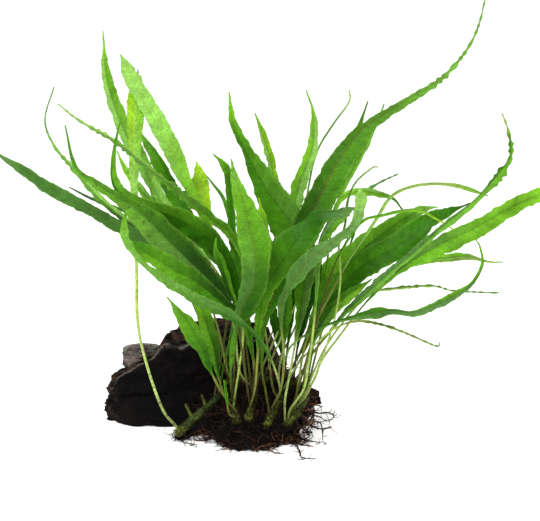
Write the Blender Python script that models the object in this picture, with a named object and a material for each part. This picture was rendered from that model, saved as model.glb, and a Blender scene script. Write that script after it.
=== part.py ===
"""Java fern grown on a piece of driftwood, at its real size.

The plant is an epiphyte: short mossy rhizomes creep over a mat of brown roots, and the mat
clings to the front of a dark lump of driftwood. Each frond is one grown piece, a round stalk
that widens into a long lance-shaped blade, so each frond is one solid.

Frame: +X to the right, +Y to the back, +Z up. The origin is on the flat underside of the root
mat, which lies on the ground with the driftwood behind it. All tables are in millimetres.
"""

import math
from dataclasses import dataclass

import bmesh
import bpy
import numpy as np

MM = 0.001
GAP = 0.3
WELD = 0.001

# The fronds are drawn as they are seen from a point in front of the plant and a little above
# it. A frond's route is a list of (across, up) on an upright sheet through the origin that
# faces that eye, and its depth says how far behind the sheet it lies.
EYE_DISTANCE = 1000.0
EYE_RISE = math.radians(12.0)
AIM_ACROSS = 10.0
AIM_UP = 89.75

SIGHT = np.array((0.0, math.cos(EYE_RISE), -math.sin(EYE_RISE)))
SHEET_RIGHT = np.array((1.0, 0.0, 0.0))
SHEET_UP = np.array((0.0, math.sin(EYE_RISE), math.cos(EYE_RISE)))
EYE = AIM_ACROSS * SHEET_RIGHT + AIM_UP * SHEET_UP - EYE_DISTANCE * SIGHT

RHIZOME_RADIUS = 2.6
STUB_RADIUS = 1.1
STRAND_RADIUS = 0.55

# A frond's mesh has as many rings as its route has points, and these more.
EXTRA_RINGS = 4
TANGENT_STEP = 0.01
BLADE_HALF_THICKNESS = 0.42
BLADE_FOLD = 0.10
TIP_WIDTH = 0.8
RING_SIDES = 6
RING_START = math.radians(30.0)

# Colour (linear RGB) and roughness of each finish.
FINISHES = {
    "driftwood": ((0.022, 0.015, 0.012), 0.85),
    "roots": ((0.040, 0.016, 0.009), 0.90),
    "rhizome": ((0.130, 0.190, 0.030), 0.70),
    "dark_frond": ((0.045, 0.180, 0.010), 0.45),
    "fresh_frond": ((0.170, 0.390, 0.035), 0.45),
    "pale_frond": ((0.240, 0.420, 0.100), 0.50),
}

# Rhizomes: points (x, y, z) of the centre line, from the old end to the growing end.
RHIZOMES = {
    "rhizome_left": ((-37, -2, 3.2), (-30, 3, 8), (-23, 8, 13), (-15, 15, 19)),
    "rhizome_front_left": ((-6, -4, 9), (-8, 3, 13), (-9, 10, 16.5), (-7, 18, 19)),
    "rhizome_centre": ((-1, -2, 10), (0.5, 6, 14.5), (2, 14, 18), (3, 22, 20)),
    "rhizome_middle": ((8, -6, 8), (11, 2, 12.5), (14, 10, 16), (17, 18, 18.5)),
    "rhizome_right": ((17, -5, 7.5), (22.5, 4, 12), (26, 12, 15), (29, 21, 17.5)),
    "rhizome_back": ((-13, 29.5, 21.5), (0, 29.8, 22), (12, 30.5, 22.5), (25, 30.5, 22)),
}

# Cut ends of old stalks on the left rhizome: foot and top.
STUBS = (((-28.5, 4, 9), (-32.5, 7, 17)), ((-22, 8.7, 13.6), (-24.5, 12, 20.5)))

# Driftwood: sections across the log, each as x and the (y, z) of the front foot, the front
# rim, the crest, the back shoulder and the back foot. Its ridges fade where it gets thin.
LOG_SECTIONS = (
    (-76, (39, 6), (39, 12), (44, 16), (51, 12), (51, 6)),
    (-73.5, (34, 2), (34, 17), (43, 21), (55, 16), (55, 2)),
    (-68, (31, 0), (31, 24), (43, 24), (61, 20), (61, 0)),
    (-60, (30, 0), (31, 29), (40, 26), (64, 23), (65, 0)),
    (-51, (29, 0), (32, 33), (41, 30), (67, 27), (68, 0)),
    (-44, (29, 0), (33, 36), (43, 36), (69, 33), (70, 0)),
    (-36, (30, 0), (35, 38.5), (57, 44), (71, 37), (71, 0)),
    (-27, (31, 0), (38, 41), (59, 47), (72, 37), (73, 0)),
    (-15, (33, 0), (41, 42), (59, 48), (73, 36), (73, 0)),
    (-3, (35, 0), (43, 41), (58, 47), (72, 34), (72, 0)),
    (8, (36, 0), (44, 38), (57, 44), (70, 30), (70, 0)),
    (15, (37, 0), (42, 24), (54, 29), (66, 22), (66, 0)),
    (22, (38, 1), (40, 15), (49, 19), (60, 14), (60, 1)),
    (29, (40, 5), (40, 12), (46, 16.5), (52, 12), (52, 5)),
    (36, (42, 7.5), (42, 11), (46, 14), (50, 11), (50, 7.5)),
)
LOG_SIDES = 18
LOG_RIDGE = 0.8
FULL_RIDGE_REACH = 16.0

# Knob, a short branch stub behind the rim: sections along its axis as centre (x, y, z) and
# half sizes across and up.
KNOB_SECTIONS = (
    ((-46, 49, 33), 4.0, 4.0),
    ((-49, 48.5, 32.5), 8.0, 6.0),
    ((-55, 47.5, 32), 9.0, 6.6),
    ((-62, 46.5, 31), 8.5, 6.8),
    ((-66.5, 46, 30.5), 6.5, 5.2),
)
KNOB_SIDES = 12
KNOB_RIDGE = 0.5

# Root mat: outline on the ground, counter-clockwise from the left end, and its height
# against y. LEFT_FALL is how the mat thins towards its left end.
MAT_OUTLINE = (
    (-38.5, -4), (-31, -3), (-25, -2.5), (-19, -7), (-14, -14), (-6, -18.5), (3, -19.5),
    (10, -18), (16, -10), (22, -11), (27, -8), (30.5, 0), (31.5, 11), (31, 22), (27, 33),
    (20, 37), (5, 37), (-9, 36), (-16, 34), (-21, 26), (-28, 16), (-35, 7), (-39, 1),
)
MAT_CENTRE = (0.0, 7.0)
MAT_HEIGHTS = ((-22, 4), (-12, 7), (-5, 9.5), (3, 13), (10, 16.5), (18, 19.5), (30, 21.5), (40, 21))
MAT_RINGS = ((1.0, 0.0), (1.02, 0.25), (0.97, 0.6), (0.86, 0.86), (0.66, 0.97), (0.36, 1.0))
LEFT_FALL_START = -12.0
LEFT_FALL_LENGTH = 26.0
LEFT_FALL = 0.52
MAT_LUMP = 0.7

# Stray roots fused to the mat, each a few points (x, y, z).
STRANDS = (
    ((26, 10, 9), (36, 8, 12.5), (42, 7, 11), (40, 6, 8.5), (28, 3, 7)),
    ((27, 6, 8), (34, 3, 9), (36, 1, 4), (36.5, -1, 0.8)),
    ((24, -5, 3), (31, -8, 1.2), (38, -8, 0.8)),
    ((20, -6, 3), (24, -17, 0.8), (24.5, -27, 0.8), (27, -33, 0.8), (32, -34, 0.8)),
    ((-30, 0, 2.5), (-34, -5, 1.0), (-31, -9, 0.8), (-26, -13, 0.8)),
    ((4, -16, 2), (11, -22, 0.8), (16, -24, 0.8)),
)


@dataclass(frozen=True)
class Frond:
    """One frond.

    rhizome, along: what it grows from, and where, from 0 at the old end to 1.
    route: (across, up) points from the stalk's foot to the tip.
    depths: depth half way along and at the tip.
    blade: (share of the length, width as seen), from where the blade starts.
    turn: how far the blade is turned about its own length at the middle and at the tip.
    """

    rhizome: str
    along: float
    route: tuple
    depths: tuple
    blade: tuple
    turn: tuple
    finish: str


FRONDS = (
    # Upright fronds of the left half, from the back to the front.
    Frond("rhizome_back", 0.285,
          ((-6, 65), (-12.5, 77.5), (-19, 87.5), (-29, 100), (-41.5, 115), (-53.5, 137.5),
           (-64.5, 159), (-71.5, 181), (-73.5, 204.5)),
          (32, 38), ((0.3, 1.6), (0.5, 8), (0.64, 8), (0.76, 7), (0.88, 4.5)), (30, 15),
          "fresh_frond"),
    Frond("rhizome_left", 0.97,
          ((-7.5, 72.5), (-21.5, 96.5), (-33.5, 116), (-45, 140), (-57.5, 157.5)),
          (48, 64), ((0.35, 1.6), (0.6, 8), (0.8, 8.5)), (35, 20), "dark_frond"),
    Frond("rhizome_left", 0.02,
          ((-44, 16), (-52, 39), (-56.5, 60), (-57, 83), (-58, 118), (-57.5, 150), (-56, 185)),
          (16, 24), ((0.5, 2), (0.66, 4), (0.77, 6), (0.87, 8)), (15, 10), "pale_frond"),
    Frond("rhizome_centre", 0.92,
          ((-1, 60), (-10, 85), (-20, 104), (-30, 122.5), (-36, 136), (-42.5, 150),
           (-52.5, 168), (-57.5, 178), (-65, 193)),
          (16, 20), ((0.4, 1.6), (0.55, 5), (0.61, 7), (0.69, 10), (0.78, 9.2), (0.9, 7),
                     (0.96, 5)), (10, 10), "pale_frond"),
    Frond("rhizome_back", 0.045,
          ((-25, 60), (-38, 92), (-47.5, 115), (-52.5, 122.5), (-62.5, 136), (-66.5, 144.5)),
          (28, 38), ((0.5, 1.6), (0.75, 4), (0.9, 3.4)), (20, 20), "fresh_frond"),
    Frond("rhizome_left", 0.87,
          ((-11.5, 60), (-11.5, 84), (-16.5, 96), (-20.5, 106), (-23.5, 115), (-25, 130),
           (-27, 139.5)),
          (30, 34), ((0.5, 1.6), (0.7, 4.5), (0.85, 8.5), (0.93, 7.5)), (5, 5), "pale_frond"),
    Frond("rhizome_centre", 0.52,
          ((-4, 65), (-5, 87.5), (-9, 105), (-13, 120), (-18.5, 128), (-24, 134.5)),
          (28, 34), ((0.45, 1.6), (0.7, 2.6), (0.85, 2.2)), (55, 60), "fresh_frond"),
    Frond("rhizome_centre", 0.65,
          ((4, 31), (2, 39), (-2, 59), (-5, 70), (-7.5, 95), (-9, 107.5), (-10.5, 131),
           (-14, 138.5), (-18.5, 143)),
          (14, 16), ((0.12, 1.6), (0.3, 5.5), (0.45, 6), (0.7, 4.5), (0.85, 4.2), (0.93, 3.4)),
          (30, 20), "dark_frond"),
    # Fronds of the left half that arch down and outwards.
    Frond("rhizome_front_left", 0.95,
          ((-11, 34), (-16.5, 57.5), (-23.5, 76), (-39, 92), (-62.5, 105.5), (-75, 113),
           (-100, 126.5), (-112.5, 135), (-125, 142.5), (-131, 146.5)),
          (8, 8), ((0.25, 1.6), (0.45, 6), (0.62, 7.2), (0.72, 7), (0.8, 6), (0.88, 4.4),
                     (0.96, 2)), (35, 25), "dark_frond"),
    Frond("rhizome_back", 0.205,
          ((-20, 60), (-36, 85), (-52.5, 102.5), (-64, 111.5), (-75, 121), (-86, 133.5),
           (-97.5, 146.5), (-102.5, 160), (-98, 176.5)),
          (14, -10), ((0.4, 1.6), (0.6, 4), (0.7, 3.6), (0.8, 2.4), (0.88, 1.6), (0.95, 1.2)),
          (50, 60), "fresh_frond"),
    Frond("rhizome_back", 0.125,
          ((-24, 70), (-42, 95), (-60, 112.5), (-68.5, 116.5), (-80, 121), (-90.5, 126.5)),
          (34, 8), ((0.5, 1.6), (0.75, 2.4), (0.85, 2), (0.95, 1.2)), (60, 70), "dark_frond"),
    Frond("rhizome_middle", 0.66,
          ((11, 28), (7.5, 55), (2.5, 75), (-8.5, 101), (-20, 111.5), (-35, 124),
           (-47.5, 133.5), (-66, 148.5), (-85, 159.5), (-96, 168)),
          (10, 8), ((0.3, 1.6), (0.45, 4.5), (0.56, 5.6), (0.66, 3.8), (0.8, 3), (0.92, 2)),
          (40, 50), "pale_frond"),
    Frond("rhizome_front_left", 0.36,
          ((-7.5, 22.5), (-5, 39), (-3.5, 55), (-7, 75), (-15, 95), (-32.5, 109), (-52.5, 117),
           (-66.5, 126), (-69, 138), (-66.5, 153.5), (-64, 161)),
          (0, 2), ((0.2, 1.6), (0.32, 6), (0.42, 10), (0.52, 12.4), (0.6, 11.6), (0.7, 7.5),
                   (0.78, 5), (0.87, 2.6)), (25, 40), "dark_frond"),
    Frond("rhizome_front_left", 0.8,
          ((-7.5, 65), (-10, 75), (-14.5, 89), (-17, 95), (-17, 101)),
          (-3, -8), ((0.5, 1.6), (0.72, 4.5), (0.88, 3.6)), (10, 10), "fresh_frond"),
    Frond("rhizome_centre", 0.78,
          ((-5, 34), (-7.5, 54), (-11.5, 69.5), (-25.5, 84.5), (-40, 98.5), (-55, 113.5),
           (-75, 127), (-87, 136), (-92.5, 157.5)),
          (-8, -14), ((0.2, 1.6), (0.36, 8), (0.48, 14), (0.58, 15), (0.66, 10), (0.74, 5.6),
                      (0.82, 3.6), (0.88, 2.2)), (30, 45), "dark_frond"),
    Frond("rhizome_centre", 0.25,
          ((-7, 61), (-12.5, 67.5), (-27.5, 79.5), (-37.5, 85), (-47.5, 91), (-55, 95.5),
           (-61.5, 100.5)),
          (-14, -30), ((0.35, 1.6), (0.5, 6), (0.64, 10), (0.75, 12), (0.85, 10), (0.93, 6)),
          (20, 10), "fresh_frond"),
    Frond("rhizome_middle", 0.52,
          ((15, 26), (10, 41.5), (2, 53.5), (-9, 61.5), (-25, 69.5), (-40, 78.5),
           (-53.5, 88.5), (-62, 99.5), (-62.5, 112), (-59.5, 115.5)),
          (-38, -45), ((0.15, 1.6), (0.25, 3), (0.33, 5), (0.45, 6.2), (0.6, 5.6), (0.72, 4),
                       (0.78, 3), (0.87, 4), (0.94, 3)), (20, -30), "pale_frond"),
    # Low fronds at the left foot.
    Frond("rhizome_front_left", 0.2,
          ((-11.5, 20), (-16.5, 28), (-21, 38), (-23.5, 45), (-26, 50), (-29, 56), (-33.5, 62.5),
           (-41.5, 71.5)),
          (-10, -20), ((0.3, 1.6), (0.42, 4), (0.52, 7), (0.64, 9.2), (0.76, 7.6), (0.88, 3.6)),
          (15, 15), "fresh_frond"),
    Frond("rhizome_front_left", 0.5,
          ((-12, 21), (-15.5, 31), (-18.5, 47.5), (-21, 55), (-23, 62.5), (-25.5, 70),
           (-27, 80)),
          (-4, -2), ((0.2, 1.6), (0.4, 6), (0.6, 8.4), (0.85, 6)), (20, 20), "fresh_frond"),
    Frond("rhizome_front_left", 0.03,
          ((-10, 12.5), (-11.5, 19), (-12, 24), (-13, 30)),
          (-8, -10), ((0.4, 1.6), (0.7, 2.4)), (10, 10), "fresh_frond"),
    # Fronds of the middle.
    Frond("rhizome_front_left", 0.65,
          ((-9.5, 27.5), (-9.5, 37.5), (-8, 50), (-6, 59), (-2.5, 69), (2, 79), (2.5, 92.5),
           (0, 105), (-2, 115), (-7, 131), (-9.5, 140.5)),
          (-34, -22), ((0.28, 1.6), (0.38, 6.4), (0.5, 12), (0.6, 14.4), (0.7, 14), (0.79, 11),
                       (0.87, 7.2), (0.94, 3.6)), (5, 5), "pale_frond"),
    Frond("rhizome_centre", 0.4,
          ((4, 45), (6, 70), (7, 95), (6.5, 107.5), (4.5, 121)),
          (14, 12), ((0.5, 1.6), (0.78, 5), (0.9, 4)), (30, 30), "pale_frond"),
    Frond("rhizome_right", 0.03,
          ((17.5, 20), (19.5, 31), (22, 45), (26.5, 72.5), (27.5, 92.5), (24, 102.5),
           (19, 111), (13, 119), (8, 126), (-1.5, 143.5), (-8.5, 159), (-10.5, 174)),
          (14, 25), ((0.2, 1.6), (0.32, 6), (0.45, 11), (0.58, 15), (0.66, 16), (0.72, 14), (0.77, 10.5),
                     (0.83, 6), (0.9, 3.4), (0.96, 2)), (25, 15), "dark_frond"),
    Frond("rhizome_back", 0.455,
          ((19, 70), (19, 112.5), (12.5, 130), (10.5, 140), (7.5, 150), (2.5, 163.5)),
          (36, 48), ((0.5, 1.6), (0.75, 4.4), (0.85, 4), (0.93, 3)), (35, 35), "fresh_frond"),
    Frond("rhizome_middle", 0.8,
          ((14.5, 35), (17, 47.5), (18.5, 70), (19, 85), (20, 102.5), (24, 125), (29.5, 140),
           (31.5, 147.5), (32, 160), (31, 166.5), (28, 175)),
          (26, 30), ((0.14, 1.6), (0.28, 6.4), (0.42, 6), (0.55, 6.4), (0.67, 7.6), (0.75, 6.8),
                     (0.83, 5), (0.9, 3), (0.95, 1.6)), (20, 20), "fresh_frond"),
    Frond("rhizome_middle", 0.2,
          ((7.5, 26), (6, 34), (5.5, 50), (7, 60), (13.5, 76.5), (20, 92), (27.5, 106),
           (35, 121), (42.5, 136), (52.5, 151), (59, 157.5), (77.5, 169.5), (95, 180.5),
           (107.5, 194), (114, 206.5), (117.5, 220)),
          (4, 10), ((0.05, 1.6), (0.13, 6.4), (0.24, 9), (0.35, 13.4), (0.45, 17), (0.53, 16), (0.59, 12.5),
                    (0.64, 7.5), (0.69, 5), (0.78, 3.4), (0.88, 2), (0.95, 1.4)), (20, 30),
          "dark_frond"),
    Frond("rhizome_centre", 0.1,
          ((2.5, 26), (4, 45), (4.5, 60), (7.5, 75), (11, 81.5), (20, 95), (25, 102),
           (30, 109), (34, 113), (42, 113.5), (50, 112)),
          (-26, -8), ((0.24, 1.6), (0.36, 5.6), (0.5, 9), (0.66, 13.4), (0.76, 14.4), (0.84, 12.5),
                      (0.92, 8)), (5, 60), "dark_frond"),
    Frond("rhizome_middle", 0.38,
          ((15.5, 26), (17, 41), (15.5, 57.5), (15.5, 65), (17, 72), (25, 85), (31, 91),
           (37.5, 96), (44, 101), (50, 106), (53, 111), (55, 117.5), (55, 126)),
          (-25, -28), ((0.3, 1.6), (0.42, 3.4), (0.5, 5), (0.57, 8), (0.64, 9), (0.72, 8),
                       (0.83, 6), (0.93, 5), (0.97, 4)), (15, 10), "pale_frond"),
    Frond("rhizome_right", 0.14,
          ((20.5, 16), (27, 26), (30, 42.5), (32, 59), (33.5, 77.5), (34, 87.5), (36, 98.5),
           (41, 107), (47.5, 114), (54, 116.5)),
          (-6, 2), ((0.45, 1.6), (0.65, 3), (0.8, 4), (0.92, 6)), (20, 40), "fresh_frond"),
    # Thin young fronds behind the middle.
    Frond("rhizome_right", 0.47,
          ((28, 22), (33, 33), (38, 46.5), (42.5, 61), (45, 77.5), (45, 88), (44.5, 97),
           (47.5, 107.5), (49, 120), (53, 129), (61, 136), (64, 136.5)),
          (-7, 26), ((0.6, 1.4), (0.75, 2), (0.9, 1.4)), (40, 40), "pale_frond"),
    Frond("rhizome_back", 0.37,
          ((18, 70), (25, 95), (29, 125), (33.5, 144), (41, 157), (49.5, 169), (49.5, 175)),
          (44, 58), ((0.5, 1.4), (0.8, 1.6)), (40, 40), "fresh_frond"),
    Frond("rhizome_back", 0.61,
          ((24, 60), (40, 105), (47.5, 130), (52.5, 150), (59, 169.5)),
          (40, 54), ((0.5, 1.4), (0.85, 3.4)), (30, 30), "fresh_frond"),
    Frond("rhizome_back", 0.535,
          ((28, 80), (42, 115), (57, 145), (65.5, 164), (67, 168)),
          (22, 30), ((0.5, 1.4), (0.85, 3)), (40, 40), "fresh_frond"),
    Frond("rhizome_right", 0.9,
          ((33, 55), (38, 85), (41, 107.5), (45, 120), (52.5, 124), (59, 124), (71, 121),
           (77, 114)),
          (10, 50), ((0.5, 1.6), (0.8, 3.8)), (20, 20), "fresh_frond"),
    Frond("rhizome_right", 0.99,
          ((37.5, 60), (47.5, 90), (55, 112.5), (58, 123), (63.5, 128), (74, 133)),
          (45, 52), ((0.4, 1.6), (0.85, 2.4)), (50, 50), "dark_frond"),
    # Fronds of the right half.
    Frond("rhizome_back", 0.845,
          ((31.5, 55), (37.5, 71), (42.5, 80), (50, 89), (57.5, 96.5), (67.5, 104),
           (77.5, 111), (87.5, 115.5), (94, 116.5)),
          (30, 44), ((0.1, 1.8), (0.22, 6), (0.36, 10), (0.5, 11.4), (0.65, 11.4), (0.76, 9),
                     (0.86, 6), (0.95, 3)), (20, 30), "dark_frond"),
    Frond("rhizome_back", 0.75,
          ((21, 36.5), (26, 46.5), (35, 62.5), (45, 76.5), (55, 86), (65, 92), (75, 97.5),
           (85, 105), (92.5, 110), (110, 118.5)),
          (16, 24), ((0.1, 1.8), (0.2, 6), (0.32, 10), (0.45, 12.6), (0.6, 13.6), (0.7, 13.6),
                     (0.78, 12), (0.85, 8), (0.93, 3.6)), (15, 30), "dark_frond"),
    Frond("rhizome_right", 0.36,
          ((27.5, 47.5), (34, 61), (46, 84), (52.5, 95), (59, 104), (63.5, 111),
           (71.5, 122.5), (85, 127.5), (101, 127.5), (115, 123.5), (119, 122)),
          (12, 24), ((0.4, 1.6), (0.7, 2.4), (0.95, 1.8)), (30, 30), "pale_frond"),
    Frond("rhizome_right", 0.25,
          ((31, 50), (38, 75), (46, 95), (56, 109), (65, 112), (82.5, 115), (94, 110),
           (101.5, 105.5)),
          (5, -1), ((0.5, 1.6), (0.8, 2.4)), (30, 30), "fresh_frond"),
    Frond("rhizome_back", 0.985,
          ((26.5, 35), (31.5, 43.5), (39, 53), (47.5, 63.5), (55, 70.5), (62.5, 77),
           (72.5, 86), (82.5, 94), (97.5, 107.5), (112.5, 120), (125, 134), (130.5, 143),
           (129, 155), (126, 163.5)),
          (-20, 0), ((0.14, 1.8), (0.24, 3.4), (0.35, 6), (0.43, 5), (0.5, 3.8), (0.62, 4),
                    (0.73, 2.8), (0.82, 4.6), (0.86, 2.2), (0.89, 2.6), (0.95, 1.6)),
          (25, 20), "dark_frond"),
    Frond("rhizome_right", 0.58,
          ((32, 30), (36, 40), (44, 51), (54, 64), (64, 75), (77.5, 87), (95, 97.5),
           (112.5, 106), (130, 116), (145, 122.5), (167.5, 130)),
          (12, 4), ((0.25, 1.8), (0.38, 3.6), (0.46, 5), (0.52, 7), (0.6, 10.8), (0.68, 9),
                   (0.78, 8), (0.88, 7), (0.95, 4)), (20, 20), "fresh_frond"),
    Frond("rhizome_right", 0.81,
          ((40, 50), (62, 76), (77.5, 86), (93, 90), (107.5, 91.5), (120, 89), (126.5, 89)),
          (16, 20), ((0.5, 1.6), (0.7, 3), (0.8, 4), (0.9, 2.6)), (45, 60), "fresh_frond"),
    Frond("rhizome_back", 0.69,
          ((17.5, 40), (21, 47.5), (32.5, 55), (50, 61), (70, 64.5), (82.5, 64), (97.5, 70),
           (110, 77.5), (116, 87.5), (115, 96.5), (113, 100)),
          (-42, -30), ((0.2, 1.6), (0.36, 2), (0.45, 3), (0.52, 4), (0.56, 2.2), (0.61, 2.6),
                       (0.68, 4.2), (0.73, 4.4), (0.79, 3.6), (0.84, 2.6), (0.92, 2)),
          (40, -40), "dark_frond"),
    Frond("rhizome_middle", 0.95,
          ((24, 38), (36, 51), (46, 57.5), (55, 59.5), (66.5, 57.5), (79, 53), (93, 47), (95, 49)),
          (2, -38), ((0.4, 1.4), (0.6, 2), (0.8, 1.8), (0.93, 1.4)), (50, 50),
          "dark_frond"),
    Frond("rhizome_back", 0.911,
          ((25, 40), (35, 57.5), (47.5, 68.5), (57.5, 73.5), (75, 76), (91.5, 77),
           (102.5, 74.5), (125, 73.5)),
          (20, 36), ((0.4, 1.4), (0.6, 2.2), (0.8, 1.6), (0.93, 1.2)), (30, 30),
          "dark_frond"),
    Frond("rhizome_right", 0.7,
          ((28, 37.5), (30.5, 46.5), (36, 57.5), (41.5, 66), (47.5, 71), (52.5, 74.5),
           (61, 80.5)),
          (12, 5), ((0.3, 1.8), (0.6, 4.6), (0.8, 4.6), (0.9, 3.2)), (40, 40), "dark_frond"),
)


def sight_point(across, up, depth):
    """The point at this depth that the eye sees at (across, up) on the sheet."""
    on_sheet = across * SHEET_RIGHT + up * SHEET_UP
    return EYE + (on_sheet - EYE) * (1.0 + depth / EYE_DISTANCE)


def depth_of(point):
    """How far behind the sheet a point lies."""
    return float(np.dot(point, SIGHT))


def smooth_line(points, steps=16):
    """A Catmull-Rom curve through the points, as many short straight runs."""
    points = np.array(points, float)
    ends = np.vstack((2 * points[0] - points[1], points, 2 * points[-1] - points[-2]))
    line = []
    for i in range(1, len(ends) - 2):
        before, here, there, after = ends[i - 1 : i + 3]
        for t in np.linspace(0.0, 1.0, steps, endpoint=False):
            line.append(
                0.5 * (2 * here + (there - before) * t
                       + (2 * before - 5 * here + 4 * there - after) * t**2
                       + (3 * here - before - 3 * there + after) * t**3)
            )
    line.append(points[-1])
    return np.array(line)


def along_line(line, shares):
    """The points at these shares of the line's length."""
    runs = np.linalg.norm(np.diff(line, axis=0), axis=1)
    measured = np.concatenate(((0.0,), np.cumsum(runs))) / runs.sum()
    return np.column_stack([np.interp(shares, measured, line[:, axis]) for axis in range(3)])


def smooth_value(keys, share):
    """A value read from (share, value) keys, with no overshoot between them."""
    places = [place for place, _ in keys]
    values = [value for _, value in keys]
    slopes = np.diff(values) / np.diff(places)
    after = min(int(np.searchsorted(places, share, side="right")), len(keys) - 1)
    before = after - 1

    def tangent(key):
        if key in (0, len(keys) - 1) or slopes[key - 1] * slopes[key] <= 0.0:
            return 0.0
        return 2.0 * slopes[key - 1] * slopes[key] / (slopes[key - 1] + slopes[key])

    span = places[after] - places[before]
    t = (share - places[before]) / span
    return (
        (2 * t**3 - 3 * t**2 + 1) * values[before]
        + (t**3 - 2 * t**2 + t) * span * tangent(before)
        + (3 * t**2 - 2 * t**3) * values[after]
        + (t**3 - t**2) * span * tangent(after)
    )


def unit(vector):
    return vector / np.linalg.norm(vector)


def object_of(name, mesh, finish):
    """A mesh object in millimetres turned to metres, with its own material."""
    mesh.transform(np.diag((MM, MM, MM, 1.0)).tolist())
    colour, roughness = FINISHES[finish]
    material = bpy.data.materials.new(name)
    material.use_nodes = True
    shader = material.node_tree.nodes["Principled BSDF"]
    shader.inputs["Base Color"].default_value = (*colour, 1.0)
    shader.inputs["Roughness"].default_value = roughness
    shader.inputs["Metallic"].default_value = 0.0
    material.diffuse_color = (*colour, 1.0)
    mesh.materials.append(material)
    mesh.shade_smooth()
    return bpy.data.objects.new(name, mesh)


def loft(name, rings):
    """A closed mesh through rings of equal count, with a flat cap at each end."""
    shape = bmesh.new()
    loops = [[shape.verts.new(point) for point in ring] for ring in rings]
    sides = len(loops[0])
    for low, high in zip(loops, loops[1:]):
        for i in range(sides):
            j = (i + 1) % sides
            shape.faces.new((low[i], low[j], high[j], high[i]))
    shape.faces.new(reversed(loops[0]))
    shape.faces.new(loops[-1])
    bmesh.ops.triangulate(shape, faces=shape.faces)
    bmesh.ops.recalc_face_normals(shape, faces=shape.faces)
    mesh = bpy.data.meshes.new(name)
    shape.to_mesh(mesh)
    shape.free()
    return mesh


def tube_mesh(name, line, radius, roundness=1):
    """A closed tube along a line, in millimetres: square at roundness 0, six-sided at 1."""
    curve = bpy.data.curves.new(name, "CURVE")
    curve.dimensions = "3D"
    curve.bevel_depth = radius
    curve.bevel_resolution = roundness
    curve.use_fill_caps = True
    spline = curve.splines.new("POLY")
    spline.points.add(len(line) - 1)
    for point, place in zip(spline.points, line):
        point.co = (*place, 1.0)
    guide = bpy.data.objects.new(name, curve)
    bpy.context.scene.collection.objects.link(guide)
    graph = bpy.context.evaluated_depsgraph_get()
    mesh = bpy.data.meshes.new_from_object(guide.evaluated_get(graph))
    bpy.data.objects.remove(guide)
    shape = bmesh.new()
    shape.from_mesh(mesh)
    bmesh.ops.remove_doubles(shape, verts=shape.verts, dist=WELD)
    bmesh.ops.recalc_face_normals(shape, faces=shape.faces)
    shape.to_mesh(mesh)
    shape.free()
    return mesh


def boolean(target, tool, operation):
    modifier = target.modifiers.new(f"{operation.lower()} {tool.name}", "BOOLEAN")
    modifier.operation = operation
    modifier.object = tool
    modifier.solver = "EXACT"
    modifier.use_self = True


def ridge(turn, place, size):
    """The long weathered ridges of old wood, as a height over its smooth surface."""
    return size * (
        math.sin(5.0 * turn + 0.11 * place)
        + 0.6 * math.sin(9.0 * turn - 0.23 * place + 1.3)
        + 0.5 * math.sin(3.0 * turn + 0.31 * place + 2.1)
    )


def log_mesh(name, swell=0.0):
    """The driftwood log. swell grows it all round, for the space that it needs."""
    rings = []
    for x, *outline in LOG_SECTIONS:
        closed = [*outline, outline[0]]
        runs = np.array([(x, y, z) for y, z in closed])
        low = min(z for _, z in outline)
        middle = runs[:-1].mean(axis=0)
        ring = []
        for point in along_line(runs, np.arange(LOG_SIDES) / LOG_SIDES):
            outward = unit(point - middle)
            turn = math.atan2(outward[2], outward[1])
            reach = min(np.linalg.norm(point - middle) / FULL_RIDGE_REACH, 1.0)
            point = point + outward * (ridge(turn, x, LOG_RIDGE * reach) + swell)
            point[2] = max(point[2], low - swell)
            ring.append(point)
        rings.append(ring)
    rings[0] = [point - (swell, 0.0, 0.0) for point in rings[0]]
    rings[-1] = [point + (swell, 0.0, 0.0) for point in rings[-1]]
    return loft(name, rings)


def knob_mesh(name):
    rings = []
    for (x, y, z), across, up in KNOB_SECTIONS:
        ring = []
        for i in range(KNOB_SIDES):
            turn = 2.0 * math.pi * i / KNOB_SIDES
            out = 1.0 + ridge(turn, 3.0 * x, KNOB_RIDGE) / across
            ring.append((x, y + across * out * math.cos(turn), z + up * out * math.sin(turn)))
        rings.append(ring)
    return loft(name, rings)


def mat_top(x, y):
    """Height of the root mat's top at (x, y)."""
    fall = min(max((LEFT_FALL_START - x) / LEFT_FALL_LENGTH, 0.0), 1.0)
    lumps = math.sin(0.55 * x + 0.3 * y) + math.sin(0.42 * y - 0.31 * x + 1.7)
    return smooth_value(MAT_HEIGHTS, y) * (1.0 - LEFT_FALL * fall) + MAT_LUMP * lumps


def mat_mesh(name):
    """The root mat: its outline drawn in and raised, ring by ring, up to its top."""
    centre = np.array(MAT_CENTRE)
    outline = [np.array(point, float) for point in MAT_OUTLINE]
    rings = []
    for shrink, rise in MAT_RINGS:
        ring = []
        for point in outline:
            x, y = centre + shrink * (point - centre)
            ring.append((x, y, rise * mat_top(x, y)))
        rings.append(ring)
    return loft(name, rings)


def rhizome_line(name):
    return smooth_line(RHIZOMES[name], steps=3)


def frond_foot(frond):
    """Where the stalk starts, just clear of the rhizome's sloping upper side."""
    line = rhizome_line(frond.rhizome)
    near = (frond.along - TANGENT_STEP, frond.along, frond.along + TANGENT_STEP)
    behind, place, ahead = along_line(line, near)
    run = ahead - behind
    slope = abs(run[2]) / math.hypot(run[0], run[1])
    stalk_radius = 0.5 * frond.blade[0][1]
    rise = RHIZOME_RADIUS * math.hypot(1.0, slope) + stalk_radius * slope + GAP
    return place + (0.0, 0.0, rise)


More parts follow.
